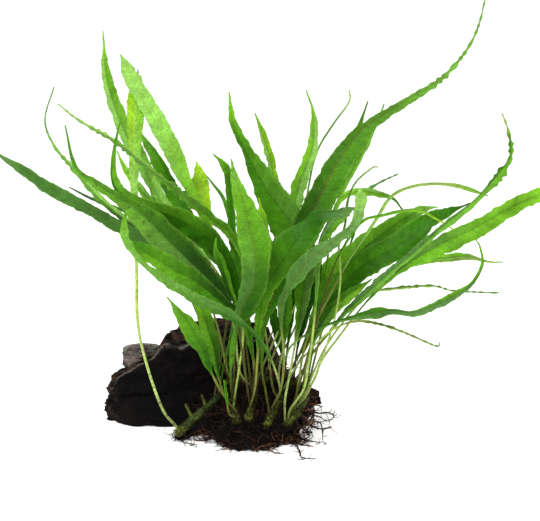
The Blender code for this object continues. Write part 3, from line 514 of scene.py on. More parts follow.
FRONDS = (
    # Upright fronds of the left half, from the back to the front.
    Frond("back", 0.285, ((-6, 65), (-12.5, 77.5), (-19, 87.5), (-29, 100), (-41.5, 115),
        (-53.5, 137.5), (-64.5, 159), (-71.5, 181), (-73.5, 204.5)), (32, 38), ((0.3, 1.6),
        (0.5, 8), (0.64, 8), (0.76, 7), (0.88, 4.5)), (30, 15), LeafSlot.FRESH,
        Look((Hue.SOFT, Hue.PALE), (Hue.PALE, Hue.FRESH), Hue.LIME, margins=((0.45, 0, 0),
        (0.57, -1, -0.5), (0.65, 0, 1), (0.79, 0, 1), (0.9, 0, 0)))),
    Frond("left", 0.97, ((-7.5, 72.5), (-21.5, 96.5), (-33.5, 116), (-45, 140), (-57.5, 157.5)),
        (48, 64), ((0.35, 1.6), (0.6, 8), (0.8, 8.5)), (35, 20), LeafSlot.DARK,
        Look((Hue.LEAF, Hue.MID), (Hue.LEAF, Hue.LEAF), Hue.SOFT, Hue.MID, margins=((0.6, 0, 0),
        (0.75, 1.5, -2), (0.85, 1.5, -2.8), (0.92, 1.2, -1.6)))),
    Frond("left", 0.02, ((-44, 16), (-52, 39), (-56.5, 60), (-57, 83), (-58, 118), (-57.5, 150),
        (-56, 185)), (16, 24), ((0.5, 2), (0.66, 4), (0.77, 6), (0.87, 8)), (15, 10),
        LeafSlot.PALE, Look((Hue.PALE, Hue.ACID), (Hue.PALE, Hue.LIME), Hue.DARK_STALK, Hue.STALK,
        Hue.PALE_RIB, veins=0.35, tip_from=0.95, margins=((0.25, 0, 0), (0.33, -0.2, 0.5),
        (0.5, -0.2, 0.5), (0.6, 0, 0), (0.8, 0, 0), (0.93, 1.5, 0)))),
    Frond("centre", 0.92, ((-1, 60), (-10, 85), (-20, 104), (-30, 122.5), (-36, 136), (-42.5, 150),
        (-52.5, 168), (-57.5, 178), (-65, 193)), (16, 20), ((0.4, 1.6), (0.55, 5), (0.61, 7),
        (0.69, 10), (0.78, 9.2), (0.9, 7), (0.96, 5)), (10, 10), LeafSlot.PALE,
        Look((Hue.SOFT, Hue.PALE), (Hue.LIME, Hue.PALE), Hue.PALE, Hue.STALK, Hue.LIME, veins=0.25,
        margins=((0.55, -1.2, 1.2), (0.8, -0.9, 1.2), (0.93, 0.5, 0.6)))),
    Frond("back", 0.045, ((-25, 60), (-38, 92), (-47.5, 115), (-52.5, 122.5), (-62.5, 136),
        (-66.5, 144.5)), (28, 38), ((0.5, 1.6), (0.75, 4), (0.9, 3.4)), (20, 20), LeafSlot.FRESH,
        Look((Hue.LIME, Hue.LIME), (Hue.FRESH, Hue.PALE), Hue.LIME, Hue.DARK_STALK)),
    Frond("left", 0.87, ((-11.5, 60), (-11.5, 84), (-16.5, 96), (-20.5, 106), (-23.5, 115),
        (-25, 130), (-27, 139.5)), (30, 34), ((0.5, 1.6), (0.7, 4.5), (0.85, 8.5), (0.93, 7.5)),
        (5, 5), LeafSlot.PALE, Look((Hue.YELLOW, Hue.YELLOW), (Hue.YELLOW, Hue.YELLOW), Hue.YELLOW,
        Hue.DARK_STALK, Hue.PALE_RIB, veins=0.3)),
    Frond("centre", 0.52, ((-4, 65), (-5, 87.5), (-9, 105), (-13, 120), (-18.5, 128),
        (-24, 134.5)), (28, 34), ((0.45, 1.6), (0.7, 2.6), (0.85, 2.2)), (55, 60), LeafSlot.FRESH,
        Look((Hue.FRESH, Hue.MID), (Hue.MID, Hue.MID), Hue.SOFT, Hue.DARK_STALK,
        margins=((0.7, 0, 0), (0.88, 0.7, 0.7)))),
    Frond("centre", 0.65, ((4, 31), (2, 39), (-2, 59), (-5, 70), (-7.5, 95), (-9, 107.5),
        (-10.5, 131), (-14, 138.5), (-18.5, 143)), (14, 16), ((0.12, 1.6), (0.3, 5.5), (0.45, 6),
        (0.7, 4.5), (0.85, 4.2), (0.93, 3.4)), (30, 20), LeafSlot.DARK, Look((Hue.MID, Hue.LEAF),
        (Hue.LEAF, Hue.LEAF), Hue.FRESH)),
    # Fronds of the left half that arch down and outwards.
    Frond("front_left", 0.95, ((-11, 34), (-16.5, 57.5), (-23.5, 76), (-39, 92), (-62.5, 105.5),
        (-75, 113), (-100, 126.5), (-112.5, 135), (-125, 142.5), (-131, 146.5)), (8, 8),
        ((0.25, 1.6), (0.45, 6), (0.62, 7.2), (0.72, 7), (0.8, 6), (0.88, 4.4), (0.96, 2)),
        (35, 25), LeafSlot.DARK, Look((Hue.TEAL, Hue.TEAL), (Hue.TEAL, Hue.TEAL), Hue.MIST,
        rib_show=0.2, margins=((0.5, 0, 0), (0.61, 0, -1), (0.75, 0.5, -0.5), (0.9, 0.8, -0.8)))),
    Frond("back", 0.205, ((-20, 60), (-36, 85), (-52.5, 102.5), (-64, 111.5), (-75, 121),
        (-86, 133.5), (-97.5, 146.5), (-102.5, 160), (-98, 176.5)), (14, -10), ((0.4, 1.6),
        (0.6, 4), (0.7, 3.6), (0.8, 2.4), (0.88, 1.6), (0.95, 1.2)), (50, 60), LeafSlot.FRESH,
        Look((Hue.MID, Hue.SOFT), (Hue.PALE, Hue.SOFT), Hue.MIST, Hue.DARK_STALK, beads=0.7)),
    Frond("back", 0.125, ((-24, 70), (-42, 95), (-60, 112.5), (-68.5, 116.5), (-80, 121),
        (-90.5, 126.5)), (34, 8), ((0.5, 1.6), (0.75, 2.4), (0.85, 2), (0.95, 1.2)), (60, 70),
        LeafSlot.DARK, Look((Hue.MID, Hue.LEAF), (Hue.LEAF, Hue.LEAF), Hue.DARK, Hue.DARK_STALK,
        ruffle=1.0, beads=0.5, margins=((0.7, 0, 0), (0.8, 0.9, 0.9), (0.93, 1.3, 1.3)))),
    Frond("middle", 0.66, ((11, 28), (7.5, 55), (2.5, 75), (-8.5, 101), (-20, 111.5), (-35, 124),
        (-47.5, 133.5), (-66, 148.5), (-85, 159.5), (-96, 168)), (10, 8), ((0.3, 1.6), (0.45, 4.5),
        (0.56, 5.6), (0.66, 3.8), (0.8, 3), (0.92, 2)), (40, 50), LeafSlot.PALE,
        Look((Hue.FRESH, Hue.SOFT), (Hue.MID, Hue.PALE), Hue.PALE, rib=Hue.OLIVE, beads=0.55,
        margins=((0.55, 0, 0), (0.67, 0, -1), (0.8, 0, 0)))),
    Frond("front_left", 0.36, ((-7.5, 22.5), (-5, 39), (-3.5, 55), (-7, 75), (-15, 95),
        (-32.5, 109), (-52.5, 117), (-66.5, 126), (-69, 138), (-66.5, 153.5), (-64, 161)), (0, 2),
        ((0.2, 1.6), (0.32, 6), (0.42, 10), (0.52, 12.4), (0.6, 11.6), (0.7, 7.5), (0.78, 5),
        (0.87, 2.6)), (25, 40), LeafSlot.DARK, Look((Hue.DARK, Hue.LEAF), (Hue.DARK, Hue.FRESH),
        Hue.MID, Hue.PALE_RIB, veins=0.4, margins=((0.35, 0, 0), (0.44, 0, -1.2), (0.52, 0, 0),
        (0.7, 0, 0), (0.82, -1.2, 1.5), (0.93, -0.6, 0.8)))),
    Frond("front_left", 0.8, ((-7.5, 65), (-10, 75), (-14.5, 89), (-17, 95), (-17, 101)), (-3, -8),
        ((0.5, 1.6), (0.72, 4.5), (0.88, 3.6)), (10, 10), LeafSlot.FRESH,
        Look((Hue.DEEP, Hue.DARK), (Hue.FRESH, Hue.LEAF), Hue.FRESH, Hue.DARK_STALK)),
    Frond("centre", 0.78, ((-5, 34), (-7.5, 54), (-11.5, 69.5), (-25.5, 84.5), (-40, 98.5),
        (-55, 113.5), (-75, 127), (-87, 136), (-92.5, 157.5)), (-8, -14), ((0.2, 1.6), (0.36, 8),
        (0.48, 14), (0.58, 15), (0.66, 10), (0.74, 5.6), (0.82, 3.6), (0.88, 2.2)), (30, 45),
        LeafSlot.DARK, Look((Hue.GREY, Hue.FRESH), (Hue.DEEP, Hue.MID), Hue.LEAF, Hue.STALK,
        Hue.GREY, spots=0.7, margins=((0.25, 0, 0), (0.36, 0, 1.8), (0.48, 0, 1.5), (0.58, 0, 0),
        (0.8, 0, 0), (0.88, 0.6, 0.6)))),
    Frond("centre", 0.25, ((-7, 61), (-12.5, 67.5), (-27.5, 79.5), (-37.5, 85), (-47.5, 91),
        (-55, 95.5), (-61.5, 100.5)), (-14, -30), ((0.35, 1.6), (0.5, 6), (0.64, 10), (0.75, 12),
        (0.85, 10), (0.93, 6)), (20, 10), LeafSlot.FRESH, Look((Hue.LEAF, Hue.FRESH),
        (Hue.DEEP, Hue.MID), Hue.LEAF, Hue.DARK_STALK, margins=((0.75, 0, 0), (0.85, -1.2, 0),
        (0.93, 0, 0)))),
    Frond("middle", 0.52, ((15, 26), (10, 41.5), (2, 53.5), (-9, 61.5), (-25, 69.5), (-40, 78.5),
        (-53.5, 88.5), (-62, 99.5), (-62.5, 112), (-59.5, 115.5)), (-38, -45), ((0.15, 1.6),
        (0.25, 3), (0.33, 5), (0.45, 6.2), (0.6, 5.6), (0.72, 4), (0.78, 3), (0.87, 4), (0.94, 3)),
        (20, -30), LeafSlot.PALE, Look((Hue.DARK, Hue.SOFT), (Hue.TEAL, Hue.SOFT), Hue.FRESH,
        Hue.STALK, rib_show=0.0, margins=((0.22, 0, 0), (0.29, -0.7, -0.7), (0.34, -1.6, -1.6),
        (0.38, -1.2, -1.2), (0.46, -0.8, 0), (0.55, 0, 0), (0.78, 0, 0), (0.84, -0.8, 0),
        (0.9, 0, 0)))),
    # Low fronds at the left foot.
    Frond("front_left", 0.2, ((-11.5, 20), (-16.5, 28), (-21, 38), (-23.5, 45), (-26, 50),
        (-29, 56), (-33.5, 62.5), (-41.5, 71.5)), (-10, -20), ((0.3, 1.6), (0.42, 4), (0.52, 7),
        (0.64, 9.2), (0.76, 7.6), (0.88, 3.6)), (15, 15), LeafSlot.FRESH,
        Look((Hue.LEAF, Hue.FRESH), (Hue.DARK, Hue.FRESH), Hue.SOFT, margins=((0.5, 0, 0),
        (0.65, 0.8, -1.2), (0.85, 0.8, -1.2)))),
    Frond("front_left", 0.5, ((-12, 21), (-15.5, 31), (-18.5, 47.5), (-21, 55), (-23, 62.5),
        (-25.5, 70), (-27, 80)), (-4, -2), ((0.2, 1.6), (0.4, 6), (0.6, 8.4), (0.85, 6)), (20, 20),
        LeafSlot.FRESH, Look((Hue.MID, Hue.LIME), (Hue.DEEP, Hue.FRESH), Hue.FRESH)),
    Frond("front_left", 0.03, ((-10, 12.5), (-11.5, 19), (-12, 24), (-13, 30)), (-8, -10),
        ((0.4, 1.6), (0.7, 2.4)), (10, 10), LeafSlot.FRESH, Look((Hue.MID, Hue.MID),
        (Hue.MID, Hue.LEAF), Hue.MID)),
    # Fronds of the middle.
    Frond("front_left", 0.65, ((-9.5, 27.5), (-9.5, 37.5), (-8, 50), (-6, 59), (-2.5, 69), (2, 79),
        (2.5, 92.5), (0, 105), (-2, 115), (-7, 131), (-9.5, 140.5)), (-34, -22), ((0.28, 1.6),
        (0.38, 6.4), (0.5, 12), (0.6, 14.4), (0.7, 14), (0.79, 11), (0.87, 7.2), (0.94, 3.6)),
        (5, 5), LeafSlot.PALE, Look((Hue.TEAL, Hue.FRESH), (Hue.DARK, Hue.FRESH), Hue.SOFT,
        Hue.MID, Hue.OLIVE, veins=0.6, margins=((0.12, 0, 0), (0.17, 0.6, 0.6), (0.24, 1.1, 1.1),
        (0.32, 0.3, 0.3), (0.41, 0, 3), (0.47, 0, 2), (0.55, 0, 0), (0.67, 0, 2), (0.8, 0, 0),
        (0.9, 0.4, -1.2)))),
    Frond("centre", 0.4, ((4, 45), (6, 70), (7, 95), (6.5, 107.5), (4.5, 121)), (14, 12),
        ((0.5, 1.6), (0.78, 5), (0.9, 4)), (30, 30), LeafSlot.PALE, Look((Hue.FRESH, Hue.LIME),
        (Hue.MID, Hue.MID), Hue.ACID, Hue.DARK_STALK)),
    Frond("right", 0.03, ((17.5, 20), (19.5, 31), (22, 45), (26.5, 72.5), (27.5, 92.5),
        (24, 102.5), (19, 111), (13, 119), (8, 126), (-1.5, 143.5), (-8.5, 159), (-10.5, 174)),
        (14, 25), ((0.2, 1.6), (0.32, 6), (0.45, 11), (0.58, 15), (0.66, 16), (0.72, 14),
        (0.77, 10.5), (0.83, 6), (0.9, 3.4), (0.96, 2)), (25, 15), LeafSlot.DARK,
        Look((Hue.MID, Hue.LEAF), (Hue.GREY, Hue.MID), Hue.LIME, Hue.STALK, margins=((0.35, 0, 0),
        (0.48, 3.5, 0), (0.57, 3.5, 0), (0.66, 0, 0), (0.76, -1.8, 0), (0.84, -1.2, 0.5),
        (0.92, 0.3, 0.5)))),
    Frond("back", 0.455, ((19, 70), (19, 112.5), (12.5, 130), (10.5, 140), (7.5, 150),
        (2.5, 163.5)), (36, 48), ((0.5, 1.6), (0.75, 4.4), (0.85, 4), (0.93, 3)), (35, 35),
        LeafSlot.FRESH, Look((Hue.MID, Hue.PALE), (Hue.FRESH, Hue.ACID), Hue.LIME, Hue.STALK)),
    Frond("middle", 0.8, ((14.5, 35), (17, 47.5), (18.5, 70), (19, 85), (20, 102.5), (24, 125),
        (29.5, 140), (31.5, 147.5), (32, 160), (31, 166.5), (28, 175)), (26, 30), ((0.14, 1.6),
        (0.28, 6.4), (0.42, 6), (0.55, 6.4), (0.67, 7.6), (0.75, 6.8), (0.83, 5), (0.9, 3),
        (0.95, 1.6)), (20, 20), LeafSlot.FRESH, Look((Hue.LEAF, Hue.LIME), (Hue.MID, Hue.PALE),
        Hue.LIME, Hue.STALK)),
    Frond("middle", 0.2, ((7.5, 26), (6, 34), (5.5, 50), (7, 60), (13.5, 76.5), (20, 92),
        (27.5, 106), (35, 121), (42.5, 136), (52.5, 151), (59, 157.5), (77.5, 169.5), (95, 180.5),
        (107.5, 194), (114, 206.5), (117.5, 220)), (4, 10), ((0.05, 1.6), (0.13, 6.4), (0.24, 9),
        (0.35, 13.4), (0.45, 17), (0.53, 16), (0.59, 12.5), (0.64, 7.5), (0.69, 5), (0.78, 3.4),
        (0.88, 2), (0.95, 1.4)), (20, 30), LeafSlot.DARK, Look((Hue.DEEP, Hue.MID),
        (Hue.LEAF, Hue.MID), Hue.SOFT, Hue.DARK_STALK, Hue.OLIVE, veins=0.8, beads=0.72,
        rib_show=0.7, tip_from=0.58, margins=((0.05, 0, 0), (0.12, -2, -2), (0.18, -1.6, -1.6),
        (0.26, 0, 0), (0.35, 0, -0.5), (0.47, -2.6, 0), (0.55, -2.8, 0), (0.62, -1.8, 0.5),
        (0.72, -0.8, 0.9)))),
    Frond("centre", 0.1, ((2.5, 26), (4, 45), (4.5, 60), (7.5, 75), (11, 81.5), (20, 95),
        (25, 102), (30, 109), (34, 113), (42, 113.5), (50, 112)), (-26, -8), ((0.24, 1.6),
        (0.36, 5.6), (0.5, 9), (0.66, 13.4), (0.76, 14.4), (0.84, 12.5), (0.92, 8)), (5, 60),
        LeafSlot.DARK, Look((Hue.MID, Hue.DARK), (Hue.MID, Hue.DARK), Hue.MIST, veins=0.4,
        margins=((0.26, 0, 0), (0.36, -1, -1), (0.44, -1, 0), (0.58, 3, 0), (0.68, 3, 0),
        (0.76, -1, 1.2), (0.85, -6, 0.6), (0.92, -5, 0)))),
    Frond("middle", 0.38, ((15.5, 26), (17, 41), (15.5, 57.5), (15.5, 65), (17, 72), (25, 85),
        (31, 91), (37.5, 96), (44, 101), (50, 106), (53, 111), (55, 117.5), (55, 126)), (-25, -28),
        ((0.3, 1.6), (0.42, 3.4), (0.5, 5), (0.57, 8), (0.64, 9), (0.72, 8), (0.83, 6), (0.93, 5),
        (0.97, 4)), (15, 10), LeafSlot.PALE, Look((Hue.TEAL, Hue.MIST), (Hue.TEAL, Hue.MIST),
        Hue.PALE, rib=Hue.OLIVE, margins=((0.66, 0, 0), (0.77, -1.6, -0.5), (0.84, -2, -0.5),
        (0.91, -0.5, 0), (0.97, 0, 0.8)))),
    Frond("right", 0.14, ((20.5, 16), (27, 26), (30, 42.5), (32, 59), (33.5, 77.5), (34, 87.5),
        (36, 98.5), (41, 107), (47.5, 114), (54, 116.5)), (-6, 2), ((0.45, 1.6), (0.65, 3),
        (0.8, 4), (0.92, 6)), (20, 40), LeafSlot.FRESH, Look((Hue.SOFT, Hue.MIST),
        (Hue.SOFT, Hue.FRESH), Hue.MIST, Hue.PALE_RIB)),
    # Thin young fronds behind the middle.
    Frond("right", 0.47, ((28, 22), (33, 33), (38, 46.5), (42.5, 61), (45, 77.5), (45, 88),
        (44.5, 97), (47.5, 107.5), (49, 120), (53, 129), (61, 136), (64, 136.5)), (-7, 26),
        ((0.6, 1.4), (0.75, 2), (0.9, 1.4)), (40, 40), LeafSlot.PALE, Look((Hue.PALE, Hue.PALE),
        (Hue.PALE, Hue.PALE), Hue.STALK, Hue.PALE_RIB)),
    Frond("back", 0.37, ((18, 70), (25, 95), (29, 125), (33.5, 144), (41, 157), (49.5, 169),
        (49.5, 175)), (44, 58), ((0.5, 1.4), (0.8, 1.6)), (40, 40), LeafSlot.FRESH,
        Look((Hue.MID, Hue.FRESH), (Hue.MID, Hue.MID), Hue.PALE_RIB)),
    Frond("back", 0.61, ((24, 60), (40, 105), (47.5, 130), (52.5, 150), (59, 169.5)), (40, 54),
        ((0.5, 1.4), (0.85, 3.4)), (30, 30), LeafSlot.FRESH, Look((Hue.MID, Hue.MID),
        (Hue.MID, Hue.MID), Hue.LEAF)),
    Frond("back", 0.535, ((28, 80), (42, 115), (57, 145), (65.5, 164), (67, 168)), (22, 30),
        ((0.5, 1.4), (0.85, 3)), (40, 40), LeafSlot.FRESH, Look((Hue.SOFT, Hue.FRESH),
        (Hue.LIME, Hue.SOFT), Hue.SOFT, Hue.STALK)),
    Frond("right", 0.9, ((33, 55), (38, 85), (41, 107.5), (45, 120), (52.5, 124), (59, 124),
        (71, 121), (77, 114)), (10, 50), ((0.5, 1.6), (0.8, 3.8)), (20, 20), LeafSlot.FRESH,
        Look((Hue.LIME, Hue.PALE), (Hue.LIME, Hue.LIME), Hue.LEAF, Hue.MID)),
    Frond("right", 0.99, ((37.5, 60), (47.5, 90), (55, 112.5), (58, 123), (63.5, 128), (74, 133)),
        (45, 52), ((0.4, 1.6), (0.85, 2.4)), (50, 50), LeafSlot.DARK, Look((Hue.LEAF, Hue.MIST),
        (Hue.LEAF, Hue.MIST), Hue.MIST, beads=0.5)),
    # Fronds of the right half.
    Frond("back", 0.845, ((31.5, 55), (37.5, 71), (42.5, 80), (50, 89), (57.5, 96.5), (67.5, 104),
        (77.5, 111), (87.5, 115.5), (94, 116.5)), (30, 44), ((0.1, 1.8), (0.22, 6), (0.36, 10),
        (0.5, 11.4), (0.65, 11.4), (0.76, 9), (0.86, 6), (0.95, 3)), (20, 30), LeafSlot.DARK,
        Look((Hue.LIME, Hue.FRESH), (Hue.LEAF, Hue.MID), Hue.PALE, margins=((0.3, 0, 0),
        (0.42, 4, 0), (0.5, 4, 0), (0.62, 0.8, 0), (0.8, 0, 0)))),
    Frond("back", 0.75, ((21, 36.5), (26, 46.5), (35, 62.5), (45, 76.5), (55, 86), (65, 92),
        (75, 97.5), (85, 105), (92.5, 110), (110, 118.5)), (16, 24), ((0.1, 1.8), (0.2, 6),
        (0.32, 10), (0.45, 12.6), (0.6, 13.6), (0.7, 13.6), (0.78, 12), (0.85, 8), (0.93, 3.6)),
        (15, 30), LeafSlot.DARK, Look((Hue.MID, Hue.LEAF), (Hue.LEAF, Hue.LEAF), Hue.DARK,
        margins=((0.08, 0, 0), (0.15, -1.3, -1.3), (0.2, -1, -1), (0.27, 0, 0), (0.65, 0, 0),
        (0.82, 0.6, -2), (0.93, 0.4, -1.2)))),
    Frond("right", 0.36, ((27.5, 47.5), (34, 61), (46, 84), (52.5, 95), (59, 104), (63.5, 111),
        (71.5, 122.5), (85, 127.5), (101, 127.5), (115, 123.5), (119, 122)), (12, 24), ((0.4, 1.6),
        (0.7, 2.4), (0.95, 1.8)), (30, 30), LeafSlot.PALE, Look((Hue.PALE, Hue.PALE_RIB),
        (Hue.PALE, Hue.PALE_RIB), Hue.FRESH, Hue.DIM_STALK, margins=((0.84, 0, 0),
        (0.93, 0.7, 0.7)))),
    Frond("right", 0.25, ((31, 50), (38, 75), (46, 95), (56, 109), (65, 112), (82.5, 115),
        (94, 110), (101.5, 105.5)), (5, -1), ((0.5, 1.6), (0.8, 2.4)), (30, 30), LeafSlot.FRESH,
        Look((Hue.MID, Hue.SOFT), (Hue.FRESH, Hue.LIME), Hue.YELLOW, Hue.DARK_STALK)),
    Frond("back", 0.985, ((26.5, 35), (31.5, 43.5), (39, 53), (47.5, 63.5), (55, 70.5), (62.5, 77),
        (72.5, 86), (82.5, 94), (97.5, 107.5), (112.5, 120), (125, 134), (130.5, 143), (129, 155),
        (126, 163.5)), (-20, 0), ((0.14, 1.8), (0.24, 3.4), (0.35, 6), (0.43, 5), (0.5, 3.8),
        (0.62, 4), (0.73, 2.8), (0.82, 4.6), (0.86, 2.2), (0.89, 2.6), (0.95, 1.6)), (25, 20),
        LeafSlot.DARK, Look((Hue.MIST, Hue.LEAF), (Hue.SOFT, Hue.FRESH), Hue.PALE_RIB, beads=0.75,
        tip_from=0.9, margins=((0.2, 0, 0), (0.33, -0.6, -0.8), (0.45, -0.5, -0.4), (0.5, 0, 0),
        (0.57, -0.5, -0.6), (0.64, -1, 0.6), (0.8, -1.2, 1.2), (0.9, 0, 0)))),
    Frond("right", 0.58, ((32, 30), (36, 40), (44, 51), (54, 64), (64, 75), (77.5, 87), (95, 97.5),
        (112.5, 106), (130, 116), (145, 122.5), (167.5, 130)), (12, 4), ((0.25, 1.8), (0.38, 3.6),
        (0.46, 5), (0.52, 7), (0.6, 10.8), (0.68, 9), (0.78, 8), (0.88, 7), (0.95, 4)), (20, 20),
        LeafSlot.FRESH, Look((Hue.TEAL, Hue.LIME), (Hue.FRESH, Hue.LIME), Hue.LIME, Hue.STALK,
        margins=((0.25, 0, 0), (0.33, -0.5, -0.7), (0.41, -0.4, -0.9), (0.46, -0.2, -0.3),
        (0.55, -1, 1), (0.7, -1, 1), (0.85, 0, 0)))),
    Frond("right", 0.81, ((40, 50), (62, 76), (77.5, 86), (93, 90), (107.5, 91.5), (120, 89),
        (126.5, 89)), (16, 20), ((0.5, 1.6), (0.7, 3), (0.8, 4), (0.9, 2.6)), (45, 60),
        LeafSlot.FRESH, Look((Hue.LIME, Hue.LIME), (Hue.LIME, Hue.PALE_RIB), Hue.PALE_RIB,
        Hue.STALK)),
    Frond("back", 0.69, ((17.5, 40), (21, 47.5), (32.5, 55), (50, 61), (70, 64.5), (82.5, 64),
        (97.5, 70), (110, 77.5), (116, 87.5), (115, 96.5), (113, 100)), (-42, -30), ((0.2, 1.6),
        (0.36, 2), (0.45, 3), (0.52, 4), (0.56, 2.2), (0.61, 2.6), (0.68, 4.2), (0.73, 4.4),
        (0.79, 3.6), (0.84, 2.6), (0.92, 2)), (40, -40), LeafSlot.DARK, Look((Hue.DARK, Hue.FRESH),
        (Hue.TEAL, Hue.MIST), Hue.FRESH, Hue.PALE, margins=((0.4, 0, 0), (0.53, 0.5, 1.8),
        (0.66, -1.2, 0.6), (0.8, 0, 0)))),
    Frond("middle", 0.95, ((24, 38), (36, 51), (46, 57.5), (55, 59.5), (66.5, 57.5), (79, 53),
        (93, 47), (95, 49)), (2, -38), ((0.4, 1.4), (0.6, 2), (0.8, 1.8), (0.93, 1.4)), (50, 50),
        LeafSlot.DARK, Look((Hue.STALK, Hue.MIST), (Hue.DIM_STALK, Hue.DIM_STALK), Hue.MIST,
        Hue.PALE_RIB, beads=0.4)),
    Frond("back", 0.911, ((25, 40), (35, 57.5), (47.5, 68.5), (57.5, 73.5), (75, 76), (91.5, 77),
        (102.5, 74.5), (125, 73.5)), (20, 36), ((0.4, 1.4), (0.6, 2.2), (0.8, 1.6), (0.93, 1.2)),
        (30, 30), LeafSlot.DARK, Look((Hue.MIST, Hue.SOFT), (Hue.STALK, Hue.PALE), Hue.SOFT,
        beads=0.5)),
    Frond("right", 0.7, ((28, 37.5), (30.5, 46.5), (36, 57.5), (41.5, 66), (47.5, 71),
        (52.5, 74.5), (61, 80.5)), (12, 5), ((0.3, 1.8), (0.6, 4.6), (0.8, 4.6), (0.9, 3.2)),
        (40, 40), LeafSlot.DARK, Look((Hue.TEAL, Hue.MID), (Hue.SOFT, Hue.LIME), Hue.MID,
        margins=((0.45, 0, 0), (0.6, 0, 1.4), (0.76, 0, 2), (0.88, 0, 0.4)))),
)

# Leaf bases that only show as dark slivers between the stalks of the others, coloured dark as
# painted shade there.
PAINTED_SHADE_LOOK = Look((Hue.DEEP, Hue.DARK), (Hue.DARK, Hue.DARK), Hue.DARK, Hue.DARK_STALK)
HIDDEN_FRONDS = (
    Frond("back", 0.93, ((23.5, 45), (26.5, 57.5), (30, 70), (33, 80), (36, 92)), (28, 30),
        ((0.2, 1.6), (0.5, 4.5), (0.8, 5)), (10, 10), LeafSlot.DARK, PAINTED_SHADE_LOOK),
    Frond("back", 0.8, ((18, 40), (19.5, 52.5), (21.5, 67.5), (22, 77.5), (22.5, 88)), (27, 28),
        ((0.2, 1.6), (0.5, 3), (0.8, 3)), (10, 10), LeafSlot.DARK, PAINTED_SHADE_LOOK),
    Frond("back", 0.66, ((16, 40), (14.5, 50), (12.5, 60), (10.5, 70), (8.5, 81)), (29, 32),
        ((0.2, 2), (0.5, 5), (0.8, 4)), (10, 10), LeafSlot.DARK, PAINTED_SHADE_LOOK),
)

# Rhizomes by the rest of their names: points (x, y, z) of the centre line, from the old end
# to the growing end.
RHIZOMES = {
    "left": ((-37, -2, 3.2), (-30, 3, 8), (-23, 8, 13), (-15, 15, 19)),
    "front_left": ((-6, -4, 9), (-8, 3, 13), (-9, 10, 16.5), (-7, 18, 19)),
    "centre": ((-1, -2, 10), (0.5, 6, 14.5), (2, 14, 18), (3, 22, 20)),
    "middle": ((8, -6, 8), (11, 2, 12.5), (14, 10, 16), (17, 18, 18.5)),
    "right": ((17, -5, 7.5), (22.5, 4, 12), (26, 12, 15), (29, 21, 17.5)),
    "back": ((-13, 29.5, 21.5), (0, 29.8, 22), (12, 30.5, 22.5), (25, 30.5, 22)),
}
RHIZOME_RADIUS = 2.6
RHIZOME_STEPS = 3


def rhizome_line(name: str) -> Array:
    """The centre line of a rhizome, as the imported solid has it."""
    return smooth_rows(np.array(RHIZOMES[name], float), RHIZOME_STEPS)


STEMS = np.concatenate([rhizome_line(name) for name in RHIZOMES])


def stem_gaps(points: Array) -> Array:
    """Distance from each point to the nearest rhizome's centre line."""
    return np.linalg.norm(points[..., None, :] - STEMS, axis=-1).min(axis=-1)


